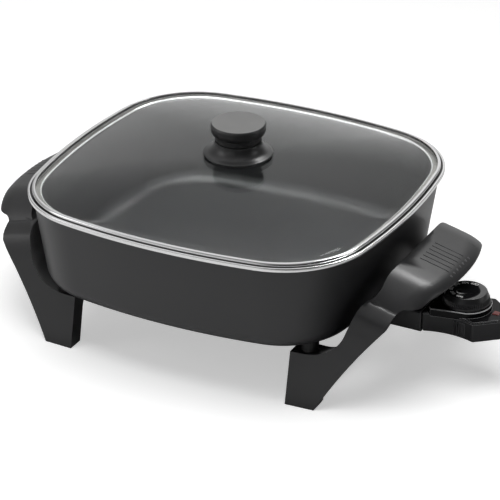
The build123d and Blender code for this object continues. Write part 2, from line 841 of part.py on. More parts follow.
def build_knob_washer():
    low = glass_top - glass_thickness - knob_washer_thickness
    ring = rod(knob_washer_radius, low, low + knob_washer_thickness)
    return ring - rod(knob_screw_radius + fit_gap, low - over, glass_top)


def build_knob_screw():
    low = glass_top - glass_thickness - knob_washer_thickness
    return pan_head_screw(
        knob_screw_radius, knob_screw_head_radius, knob_screw_head_height, low,
        skirt_top + knob_screw_bite, 0, 0,
    )


# ---- temperature control ----

def case_plan(shrink=0.0):
    """The case from above: a waist for the fingers and a tail that tapers to the cord."""
    front = control_front
    shoulder_x = front + shoulder_from_front
    half = control_half_width
    waist = ThreePointArc(
        (front, half), (front + shoulder_from_front / 2, waist_half_width), (shoulder_x, half)
    )
    upper = [
        waist,
        Line((shoulder_x, half), (tail_end, tail_half_width)),
    ]
    lower = [edge.mirror(Plane.XZ) for edge in upper]
    face = make_face([
        *upper, *lower,
        Line((tail_end, tail_half_width), (tail_end, -tail_half_width)),
        Line((front, -half), (front, half)),
    ])
    face = fillet([v for v in face.vertices() if v.X > front + over], case_corner)
    return offset(face, -shrink) if shrink else face


def cover_plan(shrink=0.0):
    """The raised cover from above: full width at the front, round behind the dial."""
    half = cover_half_width
    front = control_front + cover_set_back
    corner = (front + cover_corner, half)
    lean = math.radians(plinth_join_angle)
    join = (dial_x + plinth_radius * math.cos(lean), plinth_radius * math.sin(lean))
    waist = ((corner[0] + join[0]) / 2, half - cover_waist)
    upper = [
        Line((front, half - cover_corner), corner),
        ThreePointArc(corner, waist, join),
    ]
    lower = [edge.mirror(Plane.XZ) for edge in upper]
    face = make_face([
        *upper, *lower,
        ThreePointArc(join, (dial_x + plinth_radius, 0), (join[0], -join[1])),
        Line((front, cover_corner - half), (front, half - cover_corner)),
    ])
    face = fillet([v for v in face.vertices() if v.X > dial_x], cover_join_round)
    return offset(face, -shrink) if shrink else face


def nose_block(start, end):
    """The part of the case that plugs into the guard."""
    half = guard_half_width - guard_wall - nose_gap
    low = guard_bottom + guard_wall + nose_gap
    high = guard_top - guard_wall - nose_gap
    return block(start, end, -half, half, low, high)


def build_control_base():
    case = extrude(Pos(0, 0, control_bottom) * case_plan(), case_split - control_bottom)
    case = fillet(case.edges().group_by(Axis.Z)[0], case_round)
    middle_z = (case_split + control_bottom) / 2
    rib_length = case_split - control_bottom - 2 * waist_rib_margin
    for side in (-1, 1):
        for index in range(waist_rib_count):
            offset_x = (index - (waist_rib_count - 1) / 2) * waist_rib_pitch
            x = control_front + waist_from_front + offset_x
            y = side * (waist_half_width + waist_rib_height)
            case += Pos(x, y, middle_z) * Cylinder(waist_rib_radius, rib_length)
    case += nose_block(nose_tip, control_front + case_wall)
    case -= extrude(
        Pos(0, 0, control_bottom + case_wall) * case_plan(case_wall), case_split
    )
    behind = control_front + case_wall + over
    for y in (-pin_y, pin_y):
        mouth = pin_radius + mouth_gap
        case -= rod_x(mouth, nose_tip - over, control_front, y, element_axis)
        case -= rod_x(sleeve_radius + fit_gap, sleeve_mouth, behind, y, element_axis)
    case -= rod_x(probe_radius + fit_gap, nose_tip - over, behind, 0, element_axis)
    recess_top = control_bottom + case_recess_depth
    for x, y in case_spots:
        case += rod(case_post_radius, control_bottom + case_wall / 2, case_split, x, y)
        case -= rod(case_screw_radius + fit_gap, control_bottom - over, case_split + over, x, y)
        case -= rod(case_recess_radius, control_bottom - over, recess_top, x, y)
    case -= rod_x(
        gland_radius - gland_flange, tail_end - 2 * case_wall, tail_end + over, 0, gland_axis
    )
    return case


case_spots = [
    (front_post_x, -front_post_y),
    (front_post_x, front_post_y),
    (rear_post_x, -rear_post_y),
    (rear_post_x, rear_post_y),
]


def build_control_cover():
    lid_plate = extrude(Pos(0, 0, case_split) * case_plan(), case_wall)
    lid_plate = chamfer(lid_plate.edges().group_by(Axis.Z)[-1], edge_round)
    plinth = extrude(Pos(0, 0, case_split) * cover_plan(), cover_height)
    plinth = fillet(plinth.edges().group_by(Axis.Z)[-1], cover_edge)
    cover = lid_plate + plinth
    hollow_top = cover_top - case_wall
    below = case_split - over
    above = cover_top + over
    cover -= extrude(Pos(0, 0, below) * cover_plan(plinth_wall), hollow_top - below)
    for x, y in case_spots:
        if x < dial_x:
            cover += rod(case_post_radius, case_split, hollow_top + over, x, y)
        cover -= rod(case_screw_radius + fit_gap, below, case_split + case_screw_bite, x, y)
    cover -= rod(spindle_radius + running_gap, below, above, dial_x, 0)
    cover -= block(lens_x - lens_half, lens_x + lens_half, -lens_half, lens_half, below, above)
    return cover


def build_lens():
    half = lens_half - fit_gap
    top = case_split + case_wall + lens_height
    lens = block(lens_x - half, lens_x + half, -half, half, case_split, top)
    return fillet(lens.edges().group_by(Axis.Z)[-1], lens_edge)


def build_control_screws():
    low = control_bottom + case_recess_depth
    top = case_split + case_screw_bite
    return [
        pan_head_screw(
            case_screw_radius, case_screw_head_radius, case_screw_head_height, low, top, x, y
        )
        for x, y in case_spots
    ]


def build_probe():
    tube = rod_x(probe_radius, probe_tip, bracket_start, 0, element_axis)
    tube = fillet(tube.edges().group_by(Axis.X)[0], probe_radius / 2)
    inner = probe_radius - sleeve_wall
    return tube - rod_x(inner, probe_tip + probe_end_wall, bracket_start + over, 0, element_axis)


def build_push_rod():
    return rod_x(push_rod_radius, probe_tip + probe_end_wall, push_rod_end, 0, element_axis)


def build_sleeves():
    sleeves = []
    for y in (-pin_y, pin_y):
        start = sleeve_mouth + fit_gap
        end = pin_tip + sleeve_end_gap
        sleeve = rod_x(sleeve_radius, start, bracket_start, y, element_axis)
        sleeve -= rod_x(pin_radius + running_gap, start - over, end, y, element_axis)
        sleeves.append(sleeve)
    return sleeves


def build_sleeve_block():
    half = pin_y + block_margin
    top = element_axis + block_margin
    body = block(block_x, bracket_start, -half, half, case_floor, top)
    for y in (-pin_y, pin_y):
        body -= rod_x(sleeve_radius + fit_gap, block_x - over, bracket_start + over, y, element_axis)
    return body - rod_x(
        probe_radius + fit_gap, block_x - over, bracket_start + over, 0, element_axis
    )


def build_thermostat_frame():
    """Bent steel bracket that carries the contact leaves under the dial."""
    half = bracket_half_width
    upright = bracket_end - bracket_sheet
    plate = block(bracket_start, bracket_end, -half, half, case_floor, case_floor + bracket_sheet)
    return plate + block(upright, bracket_end, -half, half, case_floor, case_floor + bracket_height)


def build_leaf(low):
    """Spring strip held by the bracket's upright."""
    start = dial_x - leaf_length_past_dial
    half = leaf_width / 2
    root = bracket_end - bracket_sheet
    return block(start, root, leaf_y - half, leaf_y + half, low, low + leaf_sheet)


def build_contact_points():
    """Two contact buttons that face each other between the leaves."""
    x = dial_x - leaf_length_past_dial + contact_inset
    low = case_floor + leaf_low + leaf_sheet
    high = case_floor + leaf_low + leaf_spacing
    middle = (low + high) / 2
    return [
        rod(contact_radius, low, middle - contact_gap / 2, x, leaf_y),
        rod(contact_radius, middle + contact_gap / 2, high, x, leaf_y),
    ]


def build_lamp():
    axis = case_split - lamp_radius - lamp_gap
    lamp = Pos(lens_x, 0, axis) * Rot(90, 0, 0) * Cylinder(lamp_radius, lamp_length)
    return fillet(lamp.edges(), lamp_radius / 2)


def build_gland():
    """Stepped rubber sleeve that the cord passes through."""
    inside = gland_radius - gland_flange - fit_gap
    sleeve = rod_x(inside, tail_end - gland_bite, tail_end + over, 0, gland_axis)
    root = Plane.YZ.offset(tail_end) * Pos(0, gland_axis) * Circle(gland_radius)
    tip_radius = cord_bore_radius + gland_tip_wall
    tip = Plane.YZ.offset(gland_end) * Pos(0, gland_axis) * Circle(tip_radius)
    sleeve += loft([root, tip])
    bore_start = tail_end - gland_bite - over
    return sleeve - rod_x(cord_bore_radius, bore_start, gland_end + over, 0, gland_axis)


# ---- dial ----

def build_dial_knob():
    foot_top = dial_bottom + dial_flange_height
    skirt_x = dial_radius - dial_flange
    flat_x = dial_top_radius - dial_edge
    dish_x = dial_dish_radius - dial_dish_slope
    dish_z = dial_top - dial_dish_depth
    outline = Polyline(
        (0, dial_bottom), (dial_radius, dial_bottom), (dial_radius, foot_top),
        (skirt_x, foot_top), (dial_top_radius, dial_top - dial_edge), (flat_x, dial_top),
        (dial_dish_radius, dial_top), (dish_x, dish_z), (0, dish_z), close=True,
    )
    knob = revolve(Plane.XZ * make_face(outline), Axis.Z)
    notch_low = foot_top + dial_edge
    notch_high = dial_top - dial_notch_margin
    notch = Box(2 * dial_rib_depth, dial_notch_width, notch_high - notch_low)
    radius = (skirt_x + dial_top_radius) / 2 + dial_rib_depth
    for index in range(dial_rib_count):
        turn = Rot(0, 0, 360 / dial_rib_count * index)
        knob -= turn * Pos(radius, 0, (notch_low + notch_high) / 2) * notch
    knob -= rod(spindle_radius + fit_gap, dial_bottom - over, dial_bottom + spindle_bite)
    return Pos(dial_x, 0, 0) * knob


def build_spindle():
    spindle = rod(spindle_radius, spindle_bottom, dial_bottom + spindle_bite, dial_x, 0)
    return chamfer(spindle.edges().group_by(Axis.Z)[0], spindle_chamfer)


def build_cam():
    high = case_split - cam_drop
    low = high - cam_thickness
    cam = rod(cam_radius, low, high, dial_x, 0)
    cam += rod(cam_nose_radius, low, high, dial_x + cam_radius, 0)
    return cam - rod(spindle_radius + fit_gap, spindle_bottom - over, case_split, dial_x, 0)


# ---- write every node ----

os.makedirs("parts", exist_ok=True)

heater_path = element_path()
heater_tube = element_tube(heater_path)
handle = build_handle()

write("pan", build_pan(heater_path, heater_tube))
write("heating_element", build_element(heater_tube))
write("element_pins", *build_pins())
write("end_seals", *build_seals())
write("handle_right", handle)
write("handle_left", handle.mirror(Plane.YZ))
write("handle_spacers", *build_spacers())
write("handle_screws_right", *build_handle_screws(1))
write("handle_screws_left", *build_handle_screws(-1))
write("probe_guard", build_guard())
write("guard_screws", *build_guard_screws())

write("lid_glass", build_glass())
write("lid_band", build_band())
write("knob_skirt", build_knob_skirt())
write("knob_grip", build_knob_grip())
write("knob_washer", build_knob_washer())
write("knob_screw", build_knob_screw())

write("control_base", build_control_base())
write("control_cover", build_control_cover())
write("control_screws", *build_control_screws())
write("indicator_lens", build_lens())
write("pilot_lamp", build_lamp())
write("probe_tube", build_probe())
write("push_rod", build_push_rod())
write("contact_sleeves", *build_sleeves())
write("sleeve_block", build_sleeve_block())
write("thermostat_frame", build_thermostat_frame())
write("fixed_leaf", build_leaf(case_floor + leaf_low))
write("moving_leaf", build_leaf(case_floor + leaf_low + leaf_spacing))
write("contact_points", *build_contact_points())
write("cord_gland", build_gland())

write("dial_knob", build_dial_knob())
write("dial_spindle", build_spindle())
write("dial_cam", build_cam())
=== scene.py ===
import bpy
import bmesh
import json
import math
import numpy as np
from mathutils import Matrix, Vector

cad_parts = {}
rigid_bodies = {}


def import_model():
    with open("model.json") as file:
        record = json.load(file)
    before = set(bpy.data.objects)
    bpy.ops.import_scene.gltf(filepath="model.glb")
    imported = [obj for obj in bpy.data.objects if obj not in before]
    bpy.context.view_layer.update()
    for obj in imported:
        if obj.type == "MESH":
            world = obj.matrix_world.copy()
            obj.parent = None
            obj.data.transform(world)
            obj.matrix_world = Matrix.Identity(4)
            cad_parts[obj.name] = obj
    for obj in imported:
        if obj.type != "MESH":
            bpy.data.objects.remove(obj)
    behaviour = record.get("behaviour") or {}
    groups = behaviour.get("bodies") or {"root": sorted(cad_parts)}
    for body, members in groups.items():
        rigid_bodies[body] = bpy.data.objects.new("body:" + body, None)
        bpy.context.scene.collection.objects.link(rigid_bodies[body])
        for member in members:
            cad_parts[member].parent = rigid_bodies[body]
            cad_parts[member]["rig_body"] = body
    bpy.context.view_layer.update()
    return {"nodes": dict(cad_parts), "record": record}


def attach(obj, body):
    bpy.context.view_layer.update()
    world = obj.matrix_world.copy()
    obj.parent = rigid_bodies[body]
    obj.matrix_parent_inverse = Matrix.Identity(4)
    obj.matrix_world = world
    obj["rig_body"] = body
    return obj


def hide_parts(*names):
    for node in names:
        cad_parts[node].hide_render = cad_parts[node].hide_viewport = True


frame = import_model()
cadNodes = frame["nodes"]
bodyOf = {node: obj["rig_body"] for node, obj in cadNodes.items()}
slotOf = {s["node"]: s["material_slot"] for s in frame["record"]["subparts"]}
mm = 0.001
print("frame loaded:", len(cadNodes), "nodes")


def addObject(name, mesh, body, slot, *nodes):
    # a finished mesh becomes a piece on a body, in place of the given CAD nodes; the slot it is given is
    # not used
    obj = bpy.data.objects.new(name, mesh)
    bpy.context.scene.collection.objects.link(obj)
    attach(obj, body)
    if nodes:
        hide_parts(*nodes)
    return obj


def readRows(items, name, width=3, kind=float):
    # one value of every point, edge or face of a mesh, as rows of numbers
    values = np.zeros(len(items) * width, dtype=kind)
    items.foreach_get(name, values)
    return values.reshape(-1, width)


joining = {"gridGap": 1e-7, "copyGap": 2e-6, "gridSharp": 32.0, "copySharp": 28.0}


def joinPoints(mesh, gap, turnOut=False):
    # points nearer to each other than the gap become one; the faces are turned outwards if asked
    bm = bmesh.new()
    bm.from_mesh(mesh)
    bmesh.ops.remove_doubles(bm, verts=bm.verts, dist=gap)
    if turnOut:
        bmesh.ops.recalc_face_normals(bm, faces=bm.faces)
    bm.to_mesh(mesh)
    bm.free()


def smoothFaces(mesh, sharpAngle):
    # all faces are smooth, apart from edges that bend by more than the angle
    mesh.polygons.foreach_set("use_smooth", [True] * len(mesh.polygons))
    mesh.set_sharp_from_angle(angle=math.radians(sharpAngle))


def gridMesh(name, points, rowMaterial=None, sharpAngle=joining["gridSharp"]):
    # a grid of points (rows, columns, 3) becomes quads between neighbours; the columns join up
    # into a ring, and a first or last row that is one single point becomes a fan
    rows, cols = points.shape[:2]
    index = np.arange(rows * cols).reshape(rows, cols)
    beside = np.roll(index, -1, axis=1)
    quads = np.stack([index[:-1], beside[:-1], beside[1:], index[1:]], axis=-1).reshape(-1, 4)
    mesh = bpy.data.meshes.new(name)
    mesh.from_pydata(points.reshape(-1, 3).tolist(), [], quads.tolist())
    if rowMaterial is not None:
        perFace = np.repeat(np.asarray(rowMaterial, dtype=np.int32)[: rows - 1], cols)
        mesh.polygons.foreach_set("material_index", perFace)
    uv = mesh.uv_layers.new(name="around")
    col, row = np.arange(cols), np.arange(rows - 1)
    u = np.stack([col, col + 1, col + 1, col], -1) / cols
    v = np.stack([row, row, row + 1, row + 1], -1)[:, None, :] / rows
    corners = np.stack(np.broadcast_arrays(u, v), axis=-1)
    uv.data.foreach_set("uv", corners.reshape(-1).astype(np.float32))
    joinPoints(mesh, joining["gridGap"], turnOut=True)
    smoothFaces(mesh, sharpAngle)
    return mesh


def mergedCopy(node):
    # the node's loose triangles joined at their shared corners, smooth and without a finish
    mesh = cadNodes[node].data.copy()
    mesh.name = node + "Finish"
    mesh.materials.clear()
    if "custom_normal" in mesh.attributes:
        mesh.attributes.remove(mesh.attributes["custom_normal"])
    joinPoints(mesh, joining["copyGap"])
    smoothFaces(mesh, joining["copySharp"])
    return mesh


def arcPoints(centre, radius, startDeg, endDeg, count):
    # points on a circle of the profile plane, by angle
    t = np.radians(np.linspace(startDeg, endDeg, count))
    return np.stack([centre[0] + radius * np.cos(t), centre[1] + radius * np.sin(t)], -1)


def feed(tree, socket, value):
    # a value that is a socket is linked; any other is set as a constant, a colour with full alpha
    if isinstance(value, bpy.types.NodeSocket):
        tree.links.new(value, socket)
    elif socket.type == "RGBA":
        socket.default_value = (*value, 1.0)
    else:
        socket.default_value = value


def startGroup(name, inputs, outputs):
    # inputs and outputs give each title its kind of socket, in short
    group = bpy.data.node_groups.new(name, "ShaderNodeTree")
    for way, sockets in (("INPUT", inputs), ("OUTPUT", outputs)):
        for title, kind in sockets.items():
            group.interface.new_socket(name=title, in_out=way, socket_type="NodeSocket" + kind)
    return group, group.nodes.new("NodeGroupInput").outputs, group.nodes.new("NodeGroupOutput").inputs


def mathNode(tree, operation, first, second):
    node = tree.nodes.new("ShaderNodeMath")
    node.operation = operation
    feed(tree, node.inputs[0], first)
    feed(tree, node.inputs[1], second)
    return node.outputs[0]


def vectorNode(tree, operation, first, second, output="Vector"):
    node = tree.nodes.new("ShaderNodeVectorMath")
    node.operation = operation
    feed(tree, node.inputs[0], first)
    feed(tree, node.inputs[1], second)
    return node.outputs[output]


def rangeNode(tree, value, low, high, outLow=0.0, outHigh=1.0):
    # from low to high the result goes evenly from outLow to outHigh, and it stays there beyond
    node = tree.nodes.new("ShaderNodeMapRange")
    tree.links.new(value, node.inputs["Value"])
    for name, number in (("From Min", low), ("From Max", high), ("To Min", outLow), ("To Max", outHigh)):
        node.inputs[name].default_value = number
    return node.outputs["Result"]


def noiseNode(tree, vector, scale, detail, roughness):
    node = tree.nodes.new("ShaderNodeTexNoise")
    for name, value in (("Vector", vector), ("Scale", scale), ("Detail", detail), ("Roughness", roughness)):
        feed(tree, node.inputs[name], value)
    return node.outputs["Fac"]


mixPlaces = {"RGBA": (0, 6, 7, 2), "FLOAT": (0, 2, 3, 0)}  # the mix node's three inputs and its output


def mixNode(tree, factor, first, second, kind="RGBA"):
    node = tree.nodes.new("ShaderNodeMix")
    node.data_type = kind
    *places, result = mixPlaces[kind]
    for place, value in zip(places, (factor, first, second)):
        feed(tree, node.inputs[place], value)
    return node.outputs[result]


patterns = {
    "grain": dict(detail=3.0, roughness=0.6), "cloud": dict(detail=4.0, roughness=0.5),
    "speck": dict(detail=1.0, roughness=0.4), "speckSpan": (0.68, 0.74),
    "dust": dict(detail=6.0, roughness=0.65), "dustSpan": (0.4, 0.75), "upSpan": (0.2, 1.0),
    "lines": dict(scale=1.0, detail=5.0, roughness=0.7), "edgeSamples": 6, "edgeSpan": (0.01, 0.16),
}


def buildGrain():
    # fine grain, slow clouding and sparse specks, all from noise at one place
    group, given, made = startGroup(
        "surfaceGrain",
        {"Vector": "Vector", "Grain Scale": "Float", "Cloud Scale": "Float", "Speck Scale": "Float"},
        {"Grain": "Float", "Cloud": "Float", "Specks": "Float"},
    )
    grain = noiseNode(group, given["Vector"], given["Grain Scale"], **patterns["grain"])
    cloud = noiseNode(group, given["Vector"], given["Cloud Scale"], **patterns["cloud"])
    speck = noiseNode(group, given["Vector"], given["Speck Scale"], **patterns["speck"])
    group.links.new(grain, made["Grain"])
    group.links.new(cloud, made["Cloud"])
    group.links.new(rangeNode(group, speck, *patterns["speckSpan"]), made["Specks"])
    return group


def buildEdge():
    # how far the rounded normal leaves the true one marks the edges
    group, given, made = startGroup("edgeRound", {"Radius": "Float"}, {"Mask": "Float", "Normal": "Vector"})
    bevel = group.nodes.new("ShaderNodeBevel")
    bevel.samples = patterns["edgeSamples"]
    group.links.new(given["Radius"], bevel.inputs["Radius"])
    geometry = group.nodes.new("ShaderNodeNewGeometry")
    along = vectorNode(group, "DOT_PRODUCT", bevel.outputs["Normal"], geometry.outputs["Normal"], "Value")
    away = mathNode(group, "SUBTRACT", 1.0, along)
    group.links.new(rangeNode(group, away, *patterns["edgeSpan"]), made["Mask"])
    group.links.new(bevel.outputs["Normal"], made["Normal"])
    return group


def buildDust():
    # a thin film that gathers where the surface looks up, broken by noise
    group, given, made = startGroup("dustFilm", {"Vector": "Vector", "Scale": "Float"}, {"Mask": "Float"})
    geometry = group.nodes.new("ShaderNodeNewGeometry")
    split = group.nodes.new("ShaderNodeSeparateXYZ")
    group.links.new(geometry.outputs["Normal"], split.inputs[0])
    up = rangeNode(group, split.outputs["Z"], *patterns["upSpan"])
    patches = noiseNode(group, given["Vector"], given["Scale"], **patterns["dust"])
    patches = rangeNode(group, patches, *patterns["dustSpan"])
    group.links.new(mathNode(group, "MULTIPLY", up, patches), made["Mask"])
    return group


def buildBrushed():
    # noise drawn out along one direction of the coordinates it is given
    group, given, made = startGroup(
        "brushedLines", {"Vector": "Vector", "Stretch": "Vector"}, {"Lines": "Float"})
    drawnOut = vectorNode(group, "MULTIPLY", given["Vector"], given["Stretch"])
    group.links.new(noiseNode(group, drawnOut, **patterns["lines"]), made["Lines"])
    return group


surfaceGrain = buildGrain()
edgeRound = buildEdge()
dustFilm = buildDust()
brushedLines = buildBrushed()


def placeGroup(tree, group, **values):
    # underscores in the names of the values stand for spaces
    node = tree.nodes.new("ShaderNodeGroup")
    node.node_tree = group
    for name, value in values.items():
        feed(tree, node.inputs[name.replace("_", " ")], value)
    return node


def startMaterial(name, **constants):
    # the constants go to the shader's inputs of the same names, with underscores for spaces
    mat = bpy.data.materials.new(name)
    mat.use_nodes = True
    tree = mat.node_tree
    shader = tree.nodes["Principled BSDF"]
    for key, value in constants.items():
        shader.inputs[key.replace("_", " ")].default_value = value
    coords = tree.nodes.new("ShaderNodeTexCoord")
    return mat, tree, shader, coords


# what each finish has unless it says otherwise
plainLook = {
    "grainScale": 900.0, "cloudScale": 14.0, "cloudDark": 0.85, "cloudSpan": (0.35, 0.65),
    "speckScale": 500.0, "speckAmount": 0.0, "edgeRadius": 0.0005, "edgeHighlightAmount": 0.3,
    "edgeHighlightTimes": 1.6, "edgeHighlightPlus": 0.02, "dustScale": 60.0, "dustAmount": 0.05,
    "dustColour": (0.55, 0.53, 0.5), "dustRoughness": 0.6, "roughSpread": 0.03, "roughSpan": (0.3, 0.7),
    "metallic": 0.0, "specular": 0.5, "coat": 0.0, "coatRoughness": 0.08, "bump": 0.15,
    "bumpDistance": 0.0001, "brushed": None, "brushedUv": False,
}


def finishMaterial(name, values):
    # base colour clouded, specked, lightened on edges as a painted highlight and dusted; roughness from
    # cloud and dust;
    # bump from grain, or from brushed lines, over the rounded edge normal
    look = {**plainLook, **values}
    mat, tree, shader, coords = startMaterial(
        name, Metallic=look["metallic"], Specular_IOR_Level=look["specular"],
        Coat_Weight=look["coat"], Coat_Roughness=look["coatRoughness"])
    place = coords.outputs["Object"]
    grain = placeGroup(tree, surfaceGrain, Vector=place, Grain_Scale=look["grainScale"],
                       Cloud_Scale=look["cloudScale"], Speck_Scale=look["speckScale"])
    edge = placeGroup(tree, edgeRound, Radius=look["edgeRadius"])
    dust = placeGroup(tree, dustFilm, Vector=place, Scale=look["dustScale"])
    colour = look["colour"]
    dark = [c * look["cloudDark"] for c in colour]
    edgeHighlight = [min(1.0, c * look["edgeHighlightTimes"] + look["edgeHighlightPlus"]) for c in colour]
    base = mixNode(tree, rangeNode(tree, grain.outputs["Cloud"], *look["cloudSpan"]), dark, colour)
    speckMask = mathNode(tree, "MULTIPLY", grain.outputs["Specks"], look["speckAmount"])
    base = mixNode(tree, speckMask, base, look.get("speckColour", colour))
    # painted highlight: the colour is lightened along edges, as if they caught the light
    edgeHighlightMask = mathNode(tree, "MULTIPLY", edge.outputs["Mask"], look["edgeHighlightAmount"])
    base = mixNode(tree, edgeHighlightMask, base, look.get("edgeHighlightColour", edgeHighlight))
    dustMask = mathNode(tree, "MULTIPLY", dust.outputs["Mask"], look["dustAmount"])
    base = mixNode(tree, dustMask, base, look["dustColour"])
    tree.links.new(base, shader.inputs["Base Color"])
    least, most = look["roughness"] - look["roughSpread"], look["roughness"] + look["roughSpread"]
    rough = rangeNode(tree, grain.outputs["Cloud"], *look["roughSpan"], least, most)
    rough = mathNode(tree, "ADD", rough, mathNode(tree, "MULTIPLY", dustMask, look["dustRoughness"]))
    tree.links.new(rough, shader.inputs["Roughness"])
    bump = tree.nodes.new("ShaderNodeBump")
    bump.inputs["Strength"].default_value = look["bump"]
    bump.inputs["Distance"].default_value = look["bumpDistance"]
    height = grain.outputs["Grain"]
    if look["brushed"]:
        where = coords.outputs["UV"] if look["brushedUv"] else place
        height = placeGroup(tree, brushedLines, Vector=where, Stretch=look["brushed"]).outputs["Lines"]
    tree.links.new(height, bump.inputs["Height"])
    tree.links.new(edge.outputs["Normal"], bump.inputs["Normal"])
    tree.links.new(bump.outputs["Normal"], shader.inputs["Normal"])
    return mat


# the edge highlight values paint a lighter line along sharp edges, a painted highlight; it is strongest on
# the handles, guard, case, dial and cover
finishes = {
    "panCoat": dict(colour=(0.020, 0.020, 0.0215), roughness=0.36, cloudDark=0.9, speckScale=900.0,
                    speckAmount=0.05, speckColour=(0.05, 0.05, 0.052), grainScale=2400.0, bump=0.03,
                    bumpDistance=0.0001, edgeHighlightAmount=0.25, dustAmount=0.0, specular=0.5),
    "underBlack": dict(colour=(0.010, 0.010, 0.0105), roughness=0.5, specular=0.25, edgeHighlightAmount=0.1,
                       bump=0.1, dustAmount=0.0),
    "bareRim": dict(colour=(0.86, 0.86, 0.86), roughness=0.2, metallic=1.0, cloudDark=0.95,
                    brushed=(30.0, 300.0, 1.0), brushedUv=True, bump=0.02, bumpDistance=0.00002,
                    dustAmount=0.0, edgeHighlightAmount=0.1, edgeRadius=0.0002),
    "ledgeMetal": dict(colour=(0.30, 0.29, 0.275), roughness=0.36, metallic=1.0, cloudDark=0.9,
                       brushed=(30.0, 300.0, 1.0), brushedUv=True, bump=0.03, bumpDistance=0.00003,
                       dustAmount=0.0, edgeHighlightAmount=0.0),
    "bandSteel": dict(colour=(0.84, 0.84, 0.845), roughness=0.12, metallic=1.0, cloudDark=0.96,
                      brushed=(24.0, 400.0, 1.0), brushedUv=True, bump=0.02, bumpDistance=0.00002,
                      dustAmount=0.0, edgeRadius=0.0002),
    "handleBlack": dict(colour=(0.021, 0.021, 0.022), roughness=0.33, cloudDark=0.85, grainScale=1800.0,
                        bump=0.22, bumpDistance=0.00008, edgeHighlightAmount=0.3, edgeHighlightColour=(0.12, 0.12, 0.124),
                        dustAmount=0.012, edgeRadius=0.0004),
    "guardBlack": dict(colour=(0.028, 0.028, 0.029), roughness=0.34, cloudDark=0.85, grainScale=1800.0,
                       bump=0.22, bumpDistance=0.00008, edgeHighlightAmount=0.8, edgeHighlightColour=(0.26, 0.26, 0.265),
                       dustAmount=0.012, edgeRadius=0.0006),
    # painted highlight: the dots are much lighter than the handle's black they are moulded in, standing for
    # the light on their tops
    "dotPaintedHighlight": dict(colour=(0.12, 0.12, 0.124), roughness=0.3, bump=0.05, edgeHighlightAmount=0.0,
                      dustAmount=0.02),
    "knobBlack": dict(colour=(0.023, 0.023, 0.0238), roughness=0.30, grainScale=1600.0, bump=0.12,
                      bumpDistance=0.00006, edgeHighlightAmount=0.3, dustAmount=0.012),
    # painted sheen: the knob's upward faces are a lighter copy of its black, standing for the light they
    # reflect
    "knobTopPaintedSheen": dict(colour=(0.155, 0.155, 0.153), roughness=0.36, grainScale=1500.0, bump=0.1,
                    cloudDark=0.92, bumpDistance=0.00005, edgeHighlightAmount=0.0, dustAmount=0.02,
                    cloudScale=60.0),
    "coverGloss": dict(colour=(0.006, 0.006, 0.0065), roughness=0.13, grainScale=500.0, bump=0.02,
                       specular=0.12, edgeHighlightAmount=0.9, edgeHighlightColour=(0.36, 0.36, 0.365),
                       dustAmount=0.0, edgeRadius=0.0008),
    # painted highlight: light grey given to the cover's sloped top edge faces in place of a reflected
    # highlight line
    "coverPaintedHighlight": dict(colour=(0.42, 0.42, 0.425), roughness=0.22, bump=0.02, edgeHighlightAmount=0.0,
                      dustAmount=0.0),
    "caseBlack": dict(colour=(0.020, 0.020, 0.0215), roughness=0.38, grainScale=1700.0, bump=0.2,
                      bumpDistance=0.00008, edgeHighlightAmount=0.6, edgeHighlightColour=(0.2, 0.2, 0.205)),
    "heaterSheath": dict(colour=(0.30, 0.28, 0.26), roughness=0.42, metallic=1.0, cloudScale=40.0,
                         cloudDark=0.55, brushed=(300.0, 300.0, 2500.0), bump=0.1, edgeHighlightAmount=0.1),
    "pinSteel": dict(colour=(0.62, 0.61, 0.60), roughness=0.22, metallic=1.0, cloudDark=0.8,
                     brushed=(40.0, 2200.0, 2200.0), bump=0.06, edgeRadius=0.0002),
    "ceramicWhite": dict(colour=(0.82, 0.80, 0.75), roughness=0.25, speckAmount=0.5, speckScale=700.0,
                         speckColour=(0.45, 0.42, 0.37), coat=0.4, edgeHighlightAmount=0.1),
    "spacerBlack": dict(colour=(0.014, 0.013, 0.0125), roughness=0.5, grainScale=1200.0, bump=0.3,
                        edgeRadius=0.0003),
    "screwZinc": dict(colour=(0.58, 0.58, 0.57), roughness=0.32, metallic=1.0, cloudScale=120.0,
                      cloudDark=0.78, bump=0.12, edgeRadius=0.0002),
    "lensRed": dict(colour=(0.11, 0.007, 0.005), roughness=0.25, coat=0.1, specular=0.3, bump=0.03,
                    edgeRadius=0.0003),
    "lampAmber": dict(colour=(0.80, 0.42, 0.22), roughness=0.1, coat=0.6, bump=0.02, edgeRadius=0.0003),
    "springBrass": dict(colour=(0.68, 0.50, 0.22), roughness=0.28, metallic=1.0, cloudDark=0.8,
                        brushed=(60.0, 1800.0, 1800.0), bump=0.08, edgeRadius=0.0002),
    "heatBoard": dict(colour=(0.34, 0.23, 0.13), roughness=0.55, cloudScale=60.0, cloudDark=0.7,
                      speckAmount=0.4, speckColour=(0.5, 0.4, 0.27), bump=0.3, edgeRadius=0.0003),
    "cordRubber": dict(colour=(0.02, 0.02, 0.021), roughness=0.55, grainScale=1100.0, bump=0.3,
                       edgeRadius=0.0005),
    "dialBlack": dict(colour=(0.012, 0.012, 0.013), roughness=0.34, grainScale=1500.0, bump=0.12,
                      edgeHighlightAmount=0.45, edgeHighlightColour=(0.16, 0.16, 0.17), edgeRadius=0.0003),
    "dialGloss": dict(colour=(0.008, 0.008, 0.009), roughness=0.1, grainScale=1500.0, bump=0.02,
                      specular=1.0, edgeHighlightAmount=0.0, dustAmount=0.0),
    "numberWhite": dict(colour=(0.90, 0.90, 0.89), roughness=0.5, cloudScale=200.0, cloudDark=0.9,
                        bump=0.05, edgeHighlightAmount=0.0),
}
materials = {name: finishMaterial(name, look) for name, look in finishes.items()}

